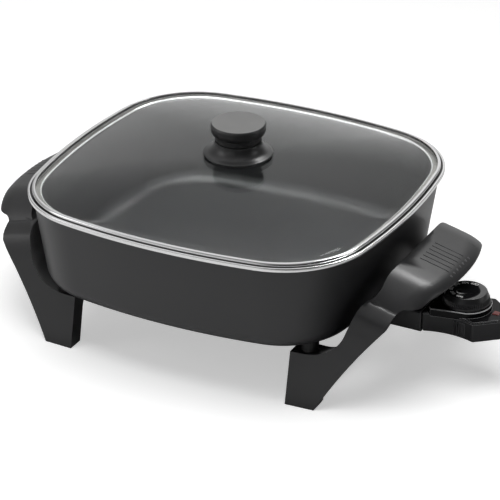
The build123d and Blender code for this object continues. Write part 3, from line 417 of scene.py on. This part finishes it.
glassLook = {
    "tint": (0.95, 0.98, 0.97), "clear": (1.0, 1.0, 1.0), "tintSpan": (0.3, 0.7), "ior": 1.22,
    "smear": dict(scale=9.0, detail=6.0, roughness=0.6), "smudgeSpan": (0.5, 0.8), "smudge": 0.004,
}


def glassMaterial(name, look):
    # clear glass; one smear of noise varies its tint and, where it is strongest, its roughness
    mat, tree, shader, coords = startMaterial(name, IOR=look["ior"], Transmission_Weight=1.0)
    smear = noiseNode(tree, coords.outputs["Object"], **look["smear"])
    rough = rangeNode(tree, smear, *look["smudgeSpan"], 0.0, look["smudge"])
    tree.links.new(rough, shader.inputs["Roughness"])
    tint = mixNode(tree, rangeNode(tree, smear, *look["tintSpan"]), look["tint"], look["clear"])
    tree.links.new(tint, shader.inputs["Base Color"])
    return mat


materials["clearGlass"] = glassMaterial("clearGlass", glassLook)
nodeFinish = {
    "pan": "panCoat", "heating_element": "heaterSheath", "element_pins": "pinSteel",
    "end_seals": "ceramicWhite", "handle_right": "handleBlack", "handle_left": "handleBlack",
    "handle_spacers": "spacerBlack", "handle_screws_right": "screwZinc",
    "handle_screws_left": "screwZinc", "probe_guard": "guardBlack", "guard_screws": "screwZinc",
    "lid_glass": "clearGlass", "lid_band": "bandSteel", "knob_skirt": "knobBlack",
    "knob_grip": "knobBlack", "knob_washer": "screwZinc", "knob_screw": "screwZinc",
    "control_base": "caseBlack", "control_cover": "coverGloss", "control_screws": "screwZinc",
    "indicator_lens": "lensRed", "pilot_lamp": "lampAmber", "probe_tube": "pinSteel",
    "push_rod": "pinSteel", "contact_sleeves": "springBrass", "sleeve_block": "heatBoard",
    "thermostat_frame": "screwZinc", "fixed_leaf": "springBrass", "moving_leaf": "springBrass",
    "contact_points": "springBrass", "cord_gland": "cordRubber", "dial_knob": "dialBlack",
    "dial_spindle": "pinSteel", "dial_cam": "heatBoard",
}
print("materials ready:", len(materials))


pan = {
    "centreX": -24.876, "rimHalfX": 155.5, "rimHalfY": 147.2, "cornerRadius": 78.0, "sideRadius": 535.0,
    "rimHeight": 134.3, "lipHeight": 3.5, "lipOverhang": 4.0, "lipLand": 2.0, "landCut": 0.25,
    "lipRoundLow": 0.8, "lipRoundTop": 0.7, "lipUnder": 0.3, "grooveCut": 0.3, "gapShadeEnd": 4.6,
    "ledgeZ": 131.5, "ledgeInset": 12.0, "ledgeRound": 1.4, "ledgeDrop": 2.6, "underside": 52.0,
    "underSlack": 0.02, "floorTop": 57.0, "draft": 11.5, "wall": 4.0, "outerFillet": 17.0,
    "innerFillet": 13.0, "columns": 336,
    "steps": dict(flat=11, outer=16, wall=12, lipLow=6, lipTop=5, ledge=9, drop=5, within=10, inner=14),
    "finishes": ("panCoat", "bareRim", "ledgeMetal"),
}


def outlineDirections(count):
    # outward directions round the outline, shared out by arc length between sides and corners
    cx, cy = pan["rimHalfX"] - pan["sideRadius"], pan["rimHalfY"] - pan["sideRadius"]
    reach = pan["sideRadius"] - pan["cornerRadius"]
    half = math.hypot(cx, cy) / 2
    lift = math.sqrt(reach ** 2 - half ** 2)
    corner = np.array([cx / 2 - cy / (2 * half) * lift, cy / 2 - cx / (2 * half) * lift])
    low = math.atan2(corner[1], corner[0] - cx)
    high = math.atan2(corner[1] - cy, corner[0])
    angles = [-low, low, high, math.pi - high, math.pi - low, math.pi + low, math.pi + high,
              2 * math.pi - high, 2 * math.pi - low]
    radii = [pan["sideRadius"], pan["cornerRadius"]] * 4
    lengths = np.cumsum([0.0] + [r * (b - a) for a, b, r in zip(angles, angles[1:], radii)])
    spots = np.linspace(0.0, lengths[-1], count, endpoint=False)
    return np.interp(spots, lengths, angles), corner, (cx, cy), (low, high)


directions, cornerCentre, sideCentre, joins = outlineDirections(pan["columns"])


def outlineRing(inset):
    # each outward direction picks its arc; the point is the arc's centre plus (radius - inset)
    # along the direction
    c, s = np.cos(directions), np.sin(directions)
    fromX = np.arctan2(np.abs(s), np.abs(c))
    onX = fromX <= joins[0]
    onY = fromX >= joins[1]
    centreX = np.where(onX, np.sign(c) * sideCentre[0], np.where(onY, 0.0, np.sign(c) * cornerCentre[0]))
    centreY = np.where(onY, np.sign(s) * sideCentre[1], np.where(onX, 0.0, np.sign(s) * cornerCentre[1]))
    radius = np.where(onX | onY, pan["sideRadius"], pan["cornerRadius"]) - inset[:, None]
    return centreX + radius * c, centreY + radius * s


def carryAround(profile):
    # profile rows (inset, height, share): the outline at the inset, scaled towards the middle
    # by the share, at the height
    x, y = outlineRing(profile[:, 0])
    share = profile[:, 2][:, None]
    z = np.broadcast_to(profile[:, 1][:, None], x.shape)
    return np.stack([x * share + pan["centreX"], y * share, z], axis=-1) * mm


def withShare(rows, share=1.0):
    # rows (inset, height) get a third number, one for all of them or one for each
    return np.column_stack([rows, np.full(len(rows), share)])


def panProfile():
    # rows from the middle of the underside, up the leaning wall, over the lip and the ledge, down
    # inside and back to the middle of the floor, and the finish of the strip after each row
    steps = pan["steps"]
    high, land, ledgeZ, ledge = pan["rimHeight"], pan["lipLand"], pan["ledgeZ"], pan["ledgeInset"]
    lipLow = high - pan["lipHeight"]
    slope = pan["draft"] / (lipLow - pan["underside"])
    lean = math.atan(slope)
    leanTurn = 180 + math.degrees(lean)
    filletReach = math.tan((math.pi / 2 - lean) / 2)

    def insetAt(z):
        return pan["lipOverhang"] + (lipLow - z) * slope

    outerR, innerR = pan["outerFillet"], pan["innerFillet"]
    start = insetAt(pan["underside"]) + outerR * filletReach
    outer = arcPoints((start, pan["underside"] + outerR), outerR, 270, leanTurn, steps["outer"])
    end = insetAt(pan["floorTop"]) + pan["wall"] + innerR * filletReach
    inner = arcPoints((end, pan["floorTop"] + innerR), innerR, leanTurn, 270, steps["inner"])
    knee = lipLow - (ledge - pan["wall"] - pan["lipOverhang"]) / slope
    low, top, soft = pan["lipRoundLow"], pan["lipRoundTop"], pan["ledgeRound"]
    shares = np.linspace(0.0, 1.0, steps["flat"], endpoint=False)
    rows = [withShare([(start, pan["underside"])] * steps["flat"], shares)]
    rows.append(withShare(outer))
    rows.append(withShare([(insetAt(z), z) for z in np.linspace(outer[-1][1], lipLow, steps["wall"])[1:]]))
    coatRows = sum(len(part) for part in rows)
    rows.append(withShare([(low + pan["lipUnder"], lipLow)]))
    rows.append(withShare(arcPoints((low, lipLow + low), low, 270, 180, steps["lipLow"])))
    rows.append(withShare(arcPoints((top, high - top), top, 180, 90, steps["lipTop"])))
    rows.append(withShare([
        (land - pan["landCut"], high), (land, high - pan["landCut"]), (land, ledgeZ + pan["grooveCut"]),
        (land + pan["grooveCut"], ledgeZ), (pan["gapShadeEnd"], ledgeZ)]))
    ledgeRow = sum(len(part) for part in rows) - 1
    rows.append(withShare(arcPoints((ledge - soft, ledgeZ - soft), soft, 90, 0, steps["ledge"])))
    rimRows = sum(len(part) for part in rows)
    drop = np.linspace(ledgeZ - pan["ledgeDrop"], knee, steps["drop"])
    rows.append(withShare([(ledge, z) for z in drop]))
    within = np.linspace(knee, inner[0][1], steps["within"])[1:-1]
    rows.append(withShare([(insetAt(z) + pan["wall"], z) for z in within]))
    rows.append(withShare(inner))
    rows.append(withShare([(end, pan["floorTop"])] * steps["flat"], shares[::-1]))
    profile = np.vstack(rows)
    coat, bright, dull = range(len(pan["finishes"]))
    kind = np.full(len(profile), coat)
    kind[coatRows - 1: rimRows - 1] = bright
    kind[ledgeRow - 3] = dull  # the lip's inner wall
    kind[ledgeRow - 2: ledgeRow] = coat  # the flat strip at its foot in the coat's dark colour: a painted shadow of the gap between lip and lid band
    kind[ledgeRow] = dull  # the ledge that the lid rests on
    return profile, kind


profile, kind = panProfile()
panMesh = gridMesh("panBody", carryAround(profile), rowMaterial=kind)
for finish in pan["finishes"]:
    panMesh.materials.append(materials[finish])
addObject("panBody", panMesh, "root", "pan_coat", "pan")
print("pan body:", len(panMesh.polygons), "faces")

# bosses, heater ridge and sensor boss below the floor stay as the CAD has them
under = mergedCopy("pan")
bm = bmesh.new()
bm.from_mesh(under)
lowest = (pan["underside"] - pan["underSlack"]) * mm
higher = [f for f in bm.faces if min(v.co.z for v in f.verts) > lowest]
bmesh.ops.delete(bm, geom=higher, context="FACES")
bm.to_mesh(under)
bm.free()
under.materials.append(materials["underBlack"])
addObject("panUnderside", under, "root", "pan_coat")

lid = {
    "glassInset": 3.75, "glassBottom": 132.2, "thickness": 4.0, "flat": 7.4, "rise": 17.5,
    "seatRadius": 30.0, "edgeRound": 0.9, "nearEdge": 4.0, "glassSharp": 50.0,
    "bandInset": 3.4, "bandBottom": 131.6, "bandTop": 136.8, "bandCover": 6.2, "bandRound": 1.6,
    "bandCut": 0.3, "hemBulge": 0.08, "sheet": 0.6,
    "steps": dict(dome=30, top=6, edge=6, outer=9, inner=7),
}


def domeRows(low):
    # the outline inside the flat margin shrinks by a share while it rises by one less the
    # share squared, up to a level top
    margin = lid["glassInset"] + lid["flat"]
    top = lid["seatRadius"] / (pan["rimHalfX"] - margin)
    slopeShare = np.linspace(1.0, top, lid["steps"]["dome"])
    share = np.concatenate([slopeShare, np.linspace(top, 0.0, lid["steps"]["top"])[1:]])
    rise = lid["rise"] * (1 - np.maximum(share, top) ** 2) / (1 - top ** 2)
    return np.column_stack([np.full(len(share), margin), low + rise, share])


def glassProfile():
    # from the middle of the glass's underside out to its edge and back over its top
    inset, low, soft = lid["glassInset"], lid["glassBottom"], lid["edgeRound"]
    high = low + lid["thickness"]
    edge = arcPoints((inset + soft, high - soft), soft, 180, 90, lid["steps"]["edge"])
    rim = [(inset + lid["nearEdge"], low), (inset, low), *edge, (inset + lid["nearEdge"], high)]
    return np.vstack([domeRows(low)[::-1], withShare(rim), domeRows(high)])


glassMesh = gridMesh("lidGlass", carryAround(glassProfile()), sharpAngle=lid["glassSharp"])
glassMesh.materials.append(materials["clearGlass"])
addObject("lidGlass", glassMesh, "lid", "clear_glass", "lid_glass")


def bandProfile():
    # a sheet bent round the glass's edge: its lower flange, the outer face with its round top
    # edge, a hem, and back along the inner face
    inset, cover, sheet, cut = (lid[key] for key in ("bandInset", "bandCover", "sheet", "bandCut"))
    low, high, soft = lid["bandBottom"], lid["bandTop"], lid["bandRound"]
    centre = (inset + soft, high - soft)
    outer = arcPoints(centre, soft, 180, 90, lid["steps"]["outer"])
    inner = arcPoints(centre, soft - sheet, 90, 180, lid["steps"]["inner"])
    flange = [(cover, low + sheet), (cover, low), (inset + cut, low), (inset, low + cut)]
    hem = [(cover, high), (cover + lid["hemBulge"], high - sheet / 2), (cover, high - sheet)]
    back = [(inset + sheet, low + sheet), (cover, low + sheet)]
    return withShare([*flange, *outer, *hem, *inner, *back])


bandMesh = gridMesh("lidBand", carryAround(bandProfile()))
bandMesh.materials.append(materials["bandSteel"])
addObject("lidBand", bandMesh, "lid", "bare_steel", "lid_band")
print("lid:", len(glassMesh.polygons) + len(bandMesh.polygons), "faces")

wing = {
    "edgeCentreX": 35.7, "edgeRadius": 169.8, "sideX": 145.8, "sideY": 38.45, "sideRadius": 53.2,
    "sideFrom": 56.0, "top": 105.5, "slope": 0.25, "slopeFrom": 168.0, "crownRadius": 802.7,
    "crownHalf": 38.0, "shoulderBase": 56.0, "shoulderRadius": 48.65, "shoulderY": 35.7,
    "shoulderSlack": 0.01, "nearX": 150.0, "nearZ": 80.0, "thick": 4.6, "curlWidth": 12.0,
    "curlRadius": 18.0, "curlShare": 0.8, "curlSpare": 2.0, "fadeFrom": 62.0, "fadeTo": 74.0,
    "finest": 4.5, "cuttings": 3, "sharpAngle": 52.0, "fullFrom": 48.0, "fullMost": 77.0,
    "fullTo": 85.0, "fullOut": 2.8, "fullLeast": 0.01, "legFrom": 64.0, "legWhole": 72.0,
}


def arcHeight(radius, run):
    # height of a circle above its centre at a run from it
    return np.sqrt(radius ** 2 - run ** 2)


def wingPlaces(verts, side):
    # for every point of the mesh: its distance in from the wing's outer edge, the height of the
    # wing's top there, its distance from the middle line, and whether it belongs to the wing
    x = side * (verts[:, 0] / mm - pan["centreX"])
    y = np.abs(verts[:, 1] / mm)
    toEdge = wing["edgeRadius"] - np.hypot(x - wing["edgeCentreX"], y)
    toSide = wing["sideRadius"] - np.hypot(x - wing["sideX"], y - wing["sideY"])
    inward = np.where(y < wing["sideFrom"], toEdge, toSide)
    crown = arcHeight(wing["crownRadius"], np.minimum(y, wing["crownHalf"]))
    crown = wing["top"] - wing["crownRadius"] + crown
    fall = np.clip(y - wing["shoulderY"], 0, wing["shoulderRadius"] - wing["shoulderSlack"])
    shoulder = wing["shoulderBase"] + arcHeight(wing["shoulderRadius"], fall)
    top = np.where(y <= wing["crownHalf"], crown, shoulder) - wing["slope"] * (x - wing["slopeFrom"])
    near = (x > wing["nearX"]) & (y < wing["fadeTo"]) & (verts[:, 2] / mm > wing["nearZ"])
    return inward, top, y, near


def curlDrop(inward):
    # how far the wing's top has rolled down, on an arc, at a distance from its edge
    run = np.clip(wing["curlWidth"] - inward, 0, wing["curlWidth"])
    return (wing["curlRadius"] - arcHeight(wing["curlRadius"], run)) * wing["curlShare"]


def easeBetween(value, start, end):
    # share t of the way from start to end, eased as t * t * (3 - 2 t)
    t = np.clip((value - start) / (end - start), 0, 1)
    return t * t * (3 - 2 * t)


def fullerLegs(verts, side):
    # the legs' faces swell outwards below the wing: an eased rise up to the fullest height times
    # an eased fall to the crease, both over the height measured along the wing's slope, times an
    # eased share that keeps to the legs
    x = side * (verts[:, 0] / mm - pan["centreX"])
    y = verts[:, 1] / mm
    level = verts[:, 2] / mm + wing["slope"] * (x - wing["slopeFrom"])
    rise = easeBetween(level, wing["fullFrom"], wing["fullMost"])
    fall = easeBetween(level, wing["fullTo"], wing["fullMost"])
    leg = easeBetween(np.abs(y), wing["legFrom"], wing["legWhole"])
    return np.sign(y) * rise * fall * leg * wing["fullOut"]


def cutFiner(mesh, side):
    # each long edge where the wing rolls down or the legs swell is halved
    verts = readRows(mesh.vertices, "co")
    inward, _, _, near = wingPlaces(verts, side)
    pairs = readRows(mesh.edges, "vertices", 2, int)
    length = np.linalg.norm(verts[pairs[:, 0]] - verts[pairs[:, 1]], axis=1) / mm
    swollen = np.abs(fullerLegs(verts, side)) > wing["fullLeast"]
    moved = near & (inward < wing["curlWidth"] + wing["curlSpare"]) | swollen
    chosen = (length > wing["finest"]) & moved[pairs].any(axis=1)
    bm = bmesh.new()
    bm.from_mesh(mesh)
    bm.edges.ensure_lookup_table()
    cut = [bm.edges[int(i)] for i in np.flatnonzero(chosen)]
    bmesh.ops.subdivide_edges(bm, edges=cut, cuts=1, use_grid_fill=False)
    bmesh.ops.triangulate(bm, faces=bm.faces)
    bm.to_mesh(mesh)
    bm.free()


def curledWing(node, side):
    # the wing's rim rolls down: the drop grows from nothing at the curl's width to its most at
    # the edge, and each point follows it by its height above the underside; then the legs swell
    mesh = mergedCopy(node)
    for cutting in range(wing["cuttings"]):
        cutFiner(mesh, side)
    verts = readRows(mesh.vertices, "co")
    inward, top, y, near = wingPlaces(verts, side)
    above = np.clip((verts[:, 2] / mm - top) / wing["thick"] + 1, 0, 1)
    fade = np.clip((wing["fadeTo"] - y) / (wing["fadeTo"] - wing["fadeFrom"]), 0, 1)
    verts[:, 2] -= curlDrop(inward) * above * fade * near * mm
    verts[:, 1] += fullerLegs(verts, side) * mm
    mesh.vertices.foreach_set("co", verts.reshape(-1))
    smoothFaces(mesh, wing["sharpAngle"])
    return mesh


wingSides = {"handle_right": 1, "handle_left": -1}
dots = {
    "x": 200.0, "first": -17.5, "step": 35 / 6, "count": 7, "radius": 1.15, "rise": 0.9, "sink": 0.3,
    "level": 95.0, "rings": 6, "sides": 16,
}


def dotRow(side):
    # low domes in a row across the wing: each point is the wing's own height there plus a rise
    # that falls with the square of the distance from the dome's middle
    share = np.linspace(1.0, 0.0, dots["rings"])[:, None]
    turn = np.linspace(0, 2 * math.pi, dots["sides"], endpoint=False)[None, :]
    rise = (dots["rise"] + dots["sink"]) * (1 - share ** 2) - dots["sink"]
    bm = bmesh.new()
    for k in range(dots["count"]):
        x = side * dots["x"] + dots["radius"] * share * np.cos(turn) + pan["centreX"]
        y = dots["first"] + k * dots["step"] + dots["radius"] * share * np.sin(turn)
        flat = np.stack([x, y, np.full(x.shape, dots["level"])], -1).reshape(-1, 3) * mm
        inward, top = wingPlaces(flat, side)[:2]
        dome = np.stack([x, y, (top - curlDrop(inward)).reshape(x.shape) + rise], -1)
        one = gridMesh("wingDot", dome * mm)
        bm.from_mesh(one)
        bpy.data.meshes.remove(one)
    mesh = bpy.data.meshes.new("wingDots")
    bm.to_mesh(mesh)
    bm.free()
    return mesh


for node, side in wingSides.items():
    raised = dotRow(side)
    # the dots' lighter colour is a painted highlight
    raised.materials.append(materials["dotPaintedHighlight"])
    addObject(node + "Dots", raised, "root", "black_moulding")

dial = {
    "centreX": 181.874, "bottom": 67.2, "bore": 2.6, "boreTop": 72.2, "foot": 19.5, "footTop": 68.6,
    "footCut": 0.2, "skirtLow": 18.8, "skirtHigh": 18.0, "skirtTop": 73.0, "skirtTuck": 0.1,
    "skirtCut": (0.25, 0.5), "ribs": 72, "ribDepth": 0.5, "ribShares": (0.0, 1, 1, 1, 1, 0.6, 0.0),
    "ribSides": 6, "shoulder": 16.4, "shoulderCut": (0.3, 0.5), "top": 77.0, "edgeDrop": 0.12,
    "ringOut": 15.8, "ringIn": 9.4, "ringCut": (0.25, 0.1), "recess": 76.5, "recessRadius": 8.0,
    "recessCut": (0.3, 0.2), "sharpAngle": 38.0, "finishes": ("dialBlack", "dialGloss"),
    "labels": ("OFF", "200", "250", "300", "350", "400"), "labelStart": 82.0, "labelStep": 36.6,
    "labelRadius": 12.8, "labelSize": 4.0, "labelBold": 0.12, "labelRise": 0.05, "labelThick": 0.02,
    "labelCurve": 3,
}


def atTurn(radius, turn, z):
    # points about the dial's axis
    return np.stack([dial["centreX"] + radius * np.cos(turn), radius * np.sin(turn), z], -1) * mm


def dialMesh():
    # a profile turned about the axis; between the skirt's rows the radius ripples with the
    # cosine of the rib count times the angle
    d = dial
    cut = d["footCut"]
    rows = [(0.0, d["boreTop"], 0), (d["bore"], d["boreTop"], 0), (d["bore"], d["bottom"], 0),
            (d["foot"] - cut, d["bottom"], 0), (d["foot"], d["bottom"] + cut, 0),
            (d["foot"], d["footTop"] - cut, 0), (d["foot"] - cut, d["footTop"], 0),
            (d["skirtLow"] - d["skirtTuck"], d["footTop"], 0)]
    count = len(d["ribShares"])
    skirtR = np.linspace(d["skirtLow"], d["skirtHigh"], count)
    skirtZ = np.linspace(d["footTop"], d["skirtTop"], count)
    rows += list(zip(skirtR, skirtZ, d["ribShares"]))
    rows += [(d["skirtHigh"] - d["skirtCut"][0], d["skirtTop"] + d["skirtCut"][1], 0),
             (d["shoulder"] + d["shoulderCut"][0], d["top"] - d["shoulderCut"][1], 0),
             (d["shoulder"], d["top"] - d["edgeDrop"], 0), (d["ringOut"], d["top"], 0),
             (d["ringIn"], d["top"], 0), (d["ringIn"] - d["ringCut"][0], d["top"] - d["ringCut"][1], 0),
             (d["recessRadius"] + d["recessCut"][0], d["recess"] + d["recessCut"][1], 0),
             (d["recessRadius"], d["recess"], 0), (0.0, d["recess"], 0)]
    rows = np.array(rows)
    turn = np.linspace(0, 2 * math.pi, d["ribs"] * d["ribSides"], endpoint=False)
    radius = rows[:, :1] + rows[:, 2:] * d["ribDepth"] * np.cos(d["ribs"] * turn)[None, :]
    points = atTurn(radius, turn, np.broadcast_to(rows[:, 1:2], radius.shape))
    gloss = (rows[:-1, 1] >= d["recess"]) & (rows[:-1, 0] <= d["ringOut"])
    return gridMesh("dialKnob", points, rowMaterial=gloss.astype(int), sharpAngle=d["sharpAngle"])


knob = dialMesh()
for finish in dial["finishes"]:
    knob.materials.append(materials[finish])
addObject("dialKnob", knob, "dial", "dial_black", "dial_knob")


def labelMesh(text, angle):
    # each point of the flat lettering goes to (radius less its height) at the label's angle plus
    # its distance along the line over the radius, so the line bends round the dial
    curve = bpy.data.curves.new("label", "FONT")
    curve.body = text
    curve.size = dial["labelSize"]
    curve.align_x = "CENTER"
    curve.align_y = "CENTER"
    curve.resolution_u = dial["labelCurve"]
    curve.extrude = dial["labelThick"]
    curve.offset = dial["labelBold"]
    holder = bpy.data.objects.new("label", curve)
    mesh = bpy.data.meshes.new_from_object(holder)
    bpy.data.objects.remove(holder)
    flat = readRows(mesh.vertices, "co")
    turn = math.radians(angle) + flat[:, 0] / dial["labelRadius"]
    z = dial["top"] + dial["labelRise"] + flat[:, 2]
    points = atTurn(dial["labelRadius"] - flat[:, 1], turn, z)
    mesh.vertices.foreach_set("co", points.reshape(-1))
    return mesh


for k, text in enumerate(dial["labels"]):
    label = labelMesh(text, dial["labelStart"] + k * dial["labelStep"])
    label.name = "dialLabel" + str(k)
    label.materials.clear()
    label.materials.append(materials["numberWhite"])
    addObject(label.name, label, "dial", "ceramic")
print("dial and dots ready")

guard = {"end": 153.9, "groove": 1.9}


def openGroove(mesh):
    # the guard's end face stands back, so that a dark groove shows before the control
    verts = readRows(mesh.vertices, "co")
    verts[verts[:, 0] > guard["end"] * mm, 0] -= guard["groove"] * mm
    mesh.vertices.foreach_set("co", verts.reshape(-1))


# faces painted with a lighter second finish as a highlight: how far up their normals point, and the height
# above which they lie
paintedHighlights = {
    "knob_grip": dict(finish="knobTopPaintedSheen", low=0.97, high=1.01, above=181.2),
    "control_cover": dict(finish="coverPaintedHighlight", low=0.2, high=0.93, above=62.5),
}


def paintHighlights(mesh, finish, low, high, above):
    # the chosen faces get the lighter finish, a painted highlight
    mesh.materials.append(materials[finish])
    rise = readRows(mesh.polygons, "normal")[:, 2]
    height = readRows(mesh.polygons, "center")[:, 2]
    chosen = (rise > low) & (rise < high) & (height > above * mm)
    mesh.polygons.foreach_set("material_index", chosen.astype(np.int32))


shaped = {"pan", "lid_glass", "lid_band", "dial_knob"}
for node in sorted(set(cadNodes) - shaped):
    mesh = curledWing(node, wingSides[node]) if node in wingSides else mergedCopy(node)
    mesh.materials.append(materials[nodeFinish[node]])
    if node == "probe_guard":
        openGroove(mesh)
    if node in paintedHighlights:
        paintHighlights(mesh, **paintedHighlights[node])
    addObject(node + "Finish", mesh, bodyOf[node], slotOf[node], node)
for node in sorted(shaped):  # the hidden nodes carry their finish too
    cadNodes[node].data.materials.clear()
    cadNodes[node].data.materials.append(materials[nodeFinish[node]])
print("carried over:", len(cadNodes) - len(shaped))

stage = {
    "floorHalf": 3.0, "floorColour": (0.84, 0.84, 0.84), "floorPaler": 0.02, "floorGlow": 0.47,
    "floorGloss": 1.0, "floorRoughness": 0.9, "floorSpecular": 0.2, "toneSpan": (0.3, 0.7),
    "tone": dict(scale=6.0, detail=3.0, roughness=0.5), "darkWay": (0.80, -0.60, 0.0),
    "darkSpan": (0.36, 0.56), "darkLevel": 0.1, "shadeSpot": (0.20, 0.02, 0.0),
    "shadeSpan": (0.12, 0.20), "shadeLevel": 0.12, "aroundLevel": 0.12,
}


def seenDirectly(tree, path):
    # 1 where the camera sees a surface by itself or through glass
    return mathNode(tree, "MAXIMUM", path.outputs["Is Camera Ray"], path.outputs["Is Transmission Ray"])


def floorMaterial():
    # a pale matt floor; the camera's own view of it is lifted to the white of the backdrop, and
    # gloss sees it fall away into the studio's dark corner, with a painted shadow round a spot under the
    # right handle
    mat, tree, shader, coords = startMaterial(
        "paleFloor", Roughness=stage["floorRoughness"], Specular_IOR_Level=stage["floorSpecular"])
    place = coords.outputs["Object"]
    tone = rangeNode(tree, noiseNode(tree, place, **stage["tone"]), *stage["toneSpan"])
    pale = [c + stage["floorPaler"] for c in stage["floorColour"]]
    tree.links.new(mixNode(tree, tone, stage["floorColour"], pale), shader.inputs["Base Color"])
    path = tree.nodes.new("ShaderNodeLightPath")
    glow = tree.nodes.new("ShaderNodeEmission")
    strength = mathNode(tree, "MULTIPLY", seenDirectly(tree, path), stage["floorGlow"])
    tree.links.new(strength, glow.inputs["Strength"])
    both = tree.nodes.new("ShaderNodeAddShader")
    tree.links.new(shader.outputs[0], both.inputs[0])
    tree.links.new(glow.outputs[0], both.inputs[1])
    far = vectorNode(tree, "DOT_PRODUCT", place, stage["darkWay"], "Value")
    level = rangeNode(tree, far, *stage["darkSpan"], stage["floorGloss"], stage["darkLevel"])
    # the spot under the right handle is a painted shadow, seen only by gloss
    reach = vectorNode(tree, "DISTANCE", place, stage["shadeSpot"], "Value")
    shade = rangeNode(tree, reach, *stage["shadeSpan"], stage["shadeLevel"], 1.0)
    level = mathNode(tree, "MULTIPLY", level, shade)
    dim = mathNode(tree, "MULTIPLY", path.outputs["Is Glossy Ray"], mathNode(tree, "SUBTRACT", 1.0, level))
    dark = tree.nodes.new("ShaderNodeEmission")
    dark.inputs["Strength"].default_value = 0.0
    mix = tree.nodes.new("ShaderNodeMixShader")
    for index, output in enumerate((dim, both.outputs[0], dark.outputs[0])):
        tree.links.new(output, mix.inputs[index])
    tree.links.new(mix.outputs[0], tree.nodes["Material Output"].inputs["Surface"])
    return mat


half = stage["floorHalf"]
floorCorners = [(-half, -half, 0), (half, -half, 0), (half, half, 0), (-half, half, 0)]
floorMesh = bpy.data.meshes.new("floor")
floorMesh.from_pydata(floorCorners, [], [(0, 1, 2, 3)])
floorMesh.materials.append(floorMaterial())
floor = bpy.data.objects.new("floor", floorMesh)
bpy.context.scene.collection.objects.link(floor)


def addLight(name, place, aim, width, height, power, inGloss=True, inDiffuse=True):
    # a flat lamp that faces a point; gloss or matt surfaces may be left without it
    data = bpy.data.lights.new(name, "AREA")
    data.shape = "RECTANGLE"
    data.size, data.size_y = width, height
    data.energy = power
    obj = bpy.data.objects.new(name, data)
    obj.location = place
    obj.rotation_euler = (Vector(aim) - Vector(place)).to_track_quat("-Z", "Y").to_euler()
    obj.visible_glossy = inGloss
    obj.visible_diffuse = inDiffuse
    bpy.context.scene.collection.objects.link(obj)


lights = {
    "softAbove": dict(place=(-0.05, -0.2, 1.5), aim=(0, 0, 0), width=1.25, height=1.25, power=20,
                      inGloss=False),
    "softBehind": dict(place=(0.16, 0.72, 1.12), aim=(0.05, 0, 0.08), width=0.5, height=0.26, power=5.6,
                       inDiffuse=False),
    "softLeft": dict(place=(-1.5, -1.0, 0.9), aim=(0, 0, 0.08), width=0.8, height=1.1, power=3.2),
    "softRight": dict(place=(1.7, 0.5, 0.7), aim=(0.1, 0, 0.08), width=0.6, height=0.9, power=2),
}
for name, lamp in lights.items():
    addLight(name, **lamp)

# what gloss sees round the object: along each way the level goes from the first to the second
# over the span
studio = {
    "side": dict(way=(0.85, 0.35, 0.4), span=(0.38, 0.74), levels=(1.0, 0.2)),
    "left": dict(way=(-0.9, 0.35, 0.25), span=(0.76, 0.95), levels=(1.0, 0.45)),
    "over": dict(way=(-0.02, -0.58, 0.81), span=(0.80, 0.97), levels=(1.0, 0.25)),
    "corner": dict(way=stage["darkWay"], span=(0.5, 0.8), levels=(1.0, stage["darkLevel"])),
    "back": dict(way=(0.1, 0.95, 0.3), span=(-0.35, 0.95), levels=(0.6, 0.85)),
}


def buildWorld():
    # plain white where the camera looks at it, also through glass; gloss sees the white backdrop
    # behind and a paler front, dimmed at the right, at the left, overhead and in one dark corner;
    # everything else gets an even level
    world = bpy.data.worlds.new("paleWorld")
    bpy.context.scene.world = world
    world.use_nodes = True
    tree = world.node_tree
    back = tree.nodes["Background"]
    way = tree.nodes.new("ShaderNodeTexCoord").outputs["Generated"]
    levels = []
    for part in studio.values():
        towards = vectorNode(tree, "DOT_PRODUCT", way, part["way"], "Value")
        levels.append(rangeNode(tree, towards, *part["span"], *part["levels"]))
    glossy = levels[0]
    for level in levels[1:]:
        glossy = mathNode(tree, "MULTIPLY", glossy, level)
    path = tree.nodes.new("ShaderNodeLightPath")
    around = mixNode(tree, path.outputs["Is Glossy Ray"], stage["aroundLevel"], glossy, kind="FLOAT")
    back.inputs["Color"].default_value = (1, 1, 1, 1)
    strength = mixNode(tree, seenDirectly(tree, path), around, 1.0, kind="FLOAT")
    tree.links.new(strength, back.inputs["Strength"])


buildWorld()

camera = {
    "azimuth": 27.11, "elevation": 27.31, "roll": 0.06, "lens": 195.62, "sensor": 36.0,
    "place": (903.93, -1792.97, 1106.94),
}


def addCamera():
    # the camera looks down along its azimuth and elevation, and is turned by its roll
    azimuth, elevation, roll = (math.radians(camera[key]) for key in ("azimuth", "elevation", "roll"))
    level = math.cos(elevation)
    ahead = Vector((-math.sin(azimuth) * level, math.cos(azimuth) * level, -math.sin(elevation)))
    right = ahead.cross(Vector((0, 0, 1))).normalized()
    up = right.cross(ahead)
    turnedRight = right * math.cos(roll) + up * math.sin(roll)
    turnedUp = up * math.cos(roll) - right * math.sin(roll)
    basis = Matrix((turnedRight, turnedUp, -ahead)).transposed().to_4x4()
    data = bpy.data.cameras.new("mainCamera")
    data.lens = camera["lens"]
    data.sensor_width = camera["sensor"]
    obj = bpy.data.objects.new("mainCamera", data)
    obj.matrix_world = Matrix.Translation(Vector(camera["place"]) * mm) @ basis
    bpy.context.scene.collection.objects.link(obj)
    bpy.context.scene.camera = obj


addCamera()
bpy.context.scene.view_settings.view_transform = "Standard"
print("stage ready")
